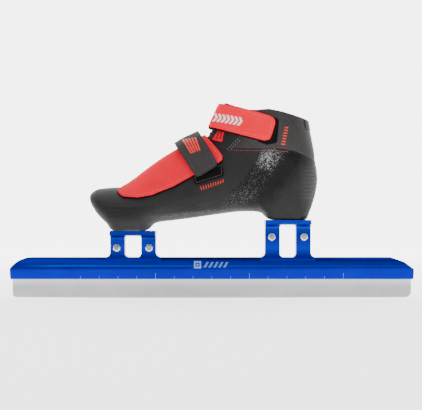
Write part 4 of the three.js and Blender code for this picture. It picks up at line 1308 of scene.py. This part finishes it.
trim = {
    "seamIn": 3.0, "padSeamIn": 1.9, "cuffSeamUp": 1.6,
    "cuffSeam": [(20.8, 157.6), (35, 157), (50, 156.6), (66, 156.8), (80, 155.2)],
    "perforations": [[(16.2, 158.6), (28.4, 170.6)], [(18.2, 157), (30.4, 169)]],
    "instep": (((-22.2, 153.6), (-11.9, 157.2)), ((-31.6, 169), (-16.6, 171.6))),
    "ankleLow": ((0.4, 189), (28.2, 183)), "ankleMiddle": ((4.2, 192.9), (32, 186.9)),
    "ankleHigh": ((2.6, 197.4), (30.4, 191.4)),
    "side": (((-10.9, 115.2), (12, 123.2)), ((-12.2, 118.8), (12.2, 127.2))),
    "heel": (((71.6, 163), (75.8, 181.5)), ((76.2, 162.4), (79.6, 181.2))),
    "tab": (((4.4, 170.6), (9.6, 169.4)), ((6.4, 178.8), (11.6, 177.6))),
}


def makeTrim():
    coverTop, strapTop = surfaceOf(laceCover), surfaceOf(instepStrap)
    ankleTop, bootTop = surfaceOf(ankleStrap), surfaceOf(bootUpper, bootShell, ankleCuff)
    padTop, tabTop = surfaceOf(loopPad), surfaceOf(tongueTab)
    stitchRow("cover_stitches", coverTop, insetLine(cover["outline"], trim["seamIn"]), "coralThread",
              "cover")
    stitchRow("instep_stitches", strapTop, insetLine(instepBand["outline"], trim["seamIn"]), "darkThread",
              "instep")
    stitchRow("ankle_stitches", ankleTop, insetLine(ankleBand["outline"], trim["seamIn"]), "coralThread",
              "ankle")
    stitchRow("cuff_stitches", bootTop, trim["cuffSeam"], "redThread", pitch=2.4,
              length=1.8, radius=0.4)
    stitchRow("cuff_edge_stitches", bootTop, shifted(seams["heel"], 0, trim["cuffSeamUp"]), "darkThread")
    for number, row in enumerate(trim["perforations"]):
        stitchRow(f"throat_perforations_{number + 1}", bootTop, row, "greyThread", pitch=3.0,
                  length=1.5, radius=0.5)
    stitchRow("loop_stitches", padTop, insetLine(pads["loop"]["outline"], trim["padSeamIn"]), "greyThread",
              pitch=1.8, length=1.2)
    printed("instep_print", strapTop, barsBetween(*trim["instep"], 5, 0.7), "redInk", "instep")
    chevrons = barsBetween(trim["ankleLow"], trim["ankleMiddle"], 7, 0.55)
    chevrons += barsBetween(trim["ankleMiddle"], trim["ankleHigh"], 7, 0.55)
    printed("ankle_print", ankleTop, chevrons, "whiteInk", "ankle")
    printed("heel_print", bootTop, barsBetween(*trim["heel"], 7, 0.5), "redInk")
    printed("side_print", bootTop, barsBetween(*trim["side"], 10, 0.36), "redInk")
    printed("tab_print", tabTop, barsBetween(*trim["tab"], 2, 0.5), "wineInk")


makeTrim()
print("trim made")
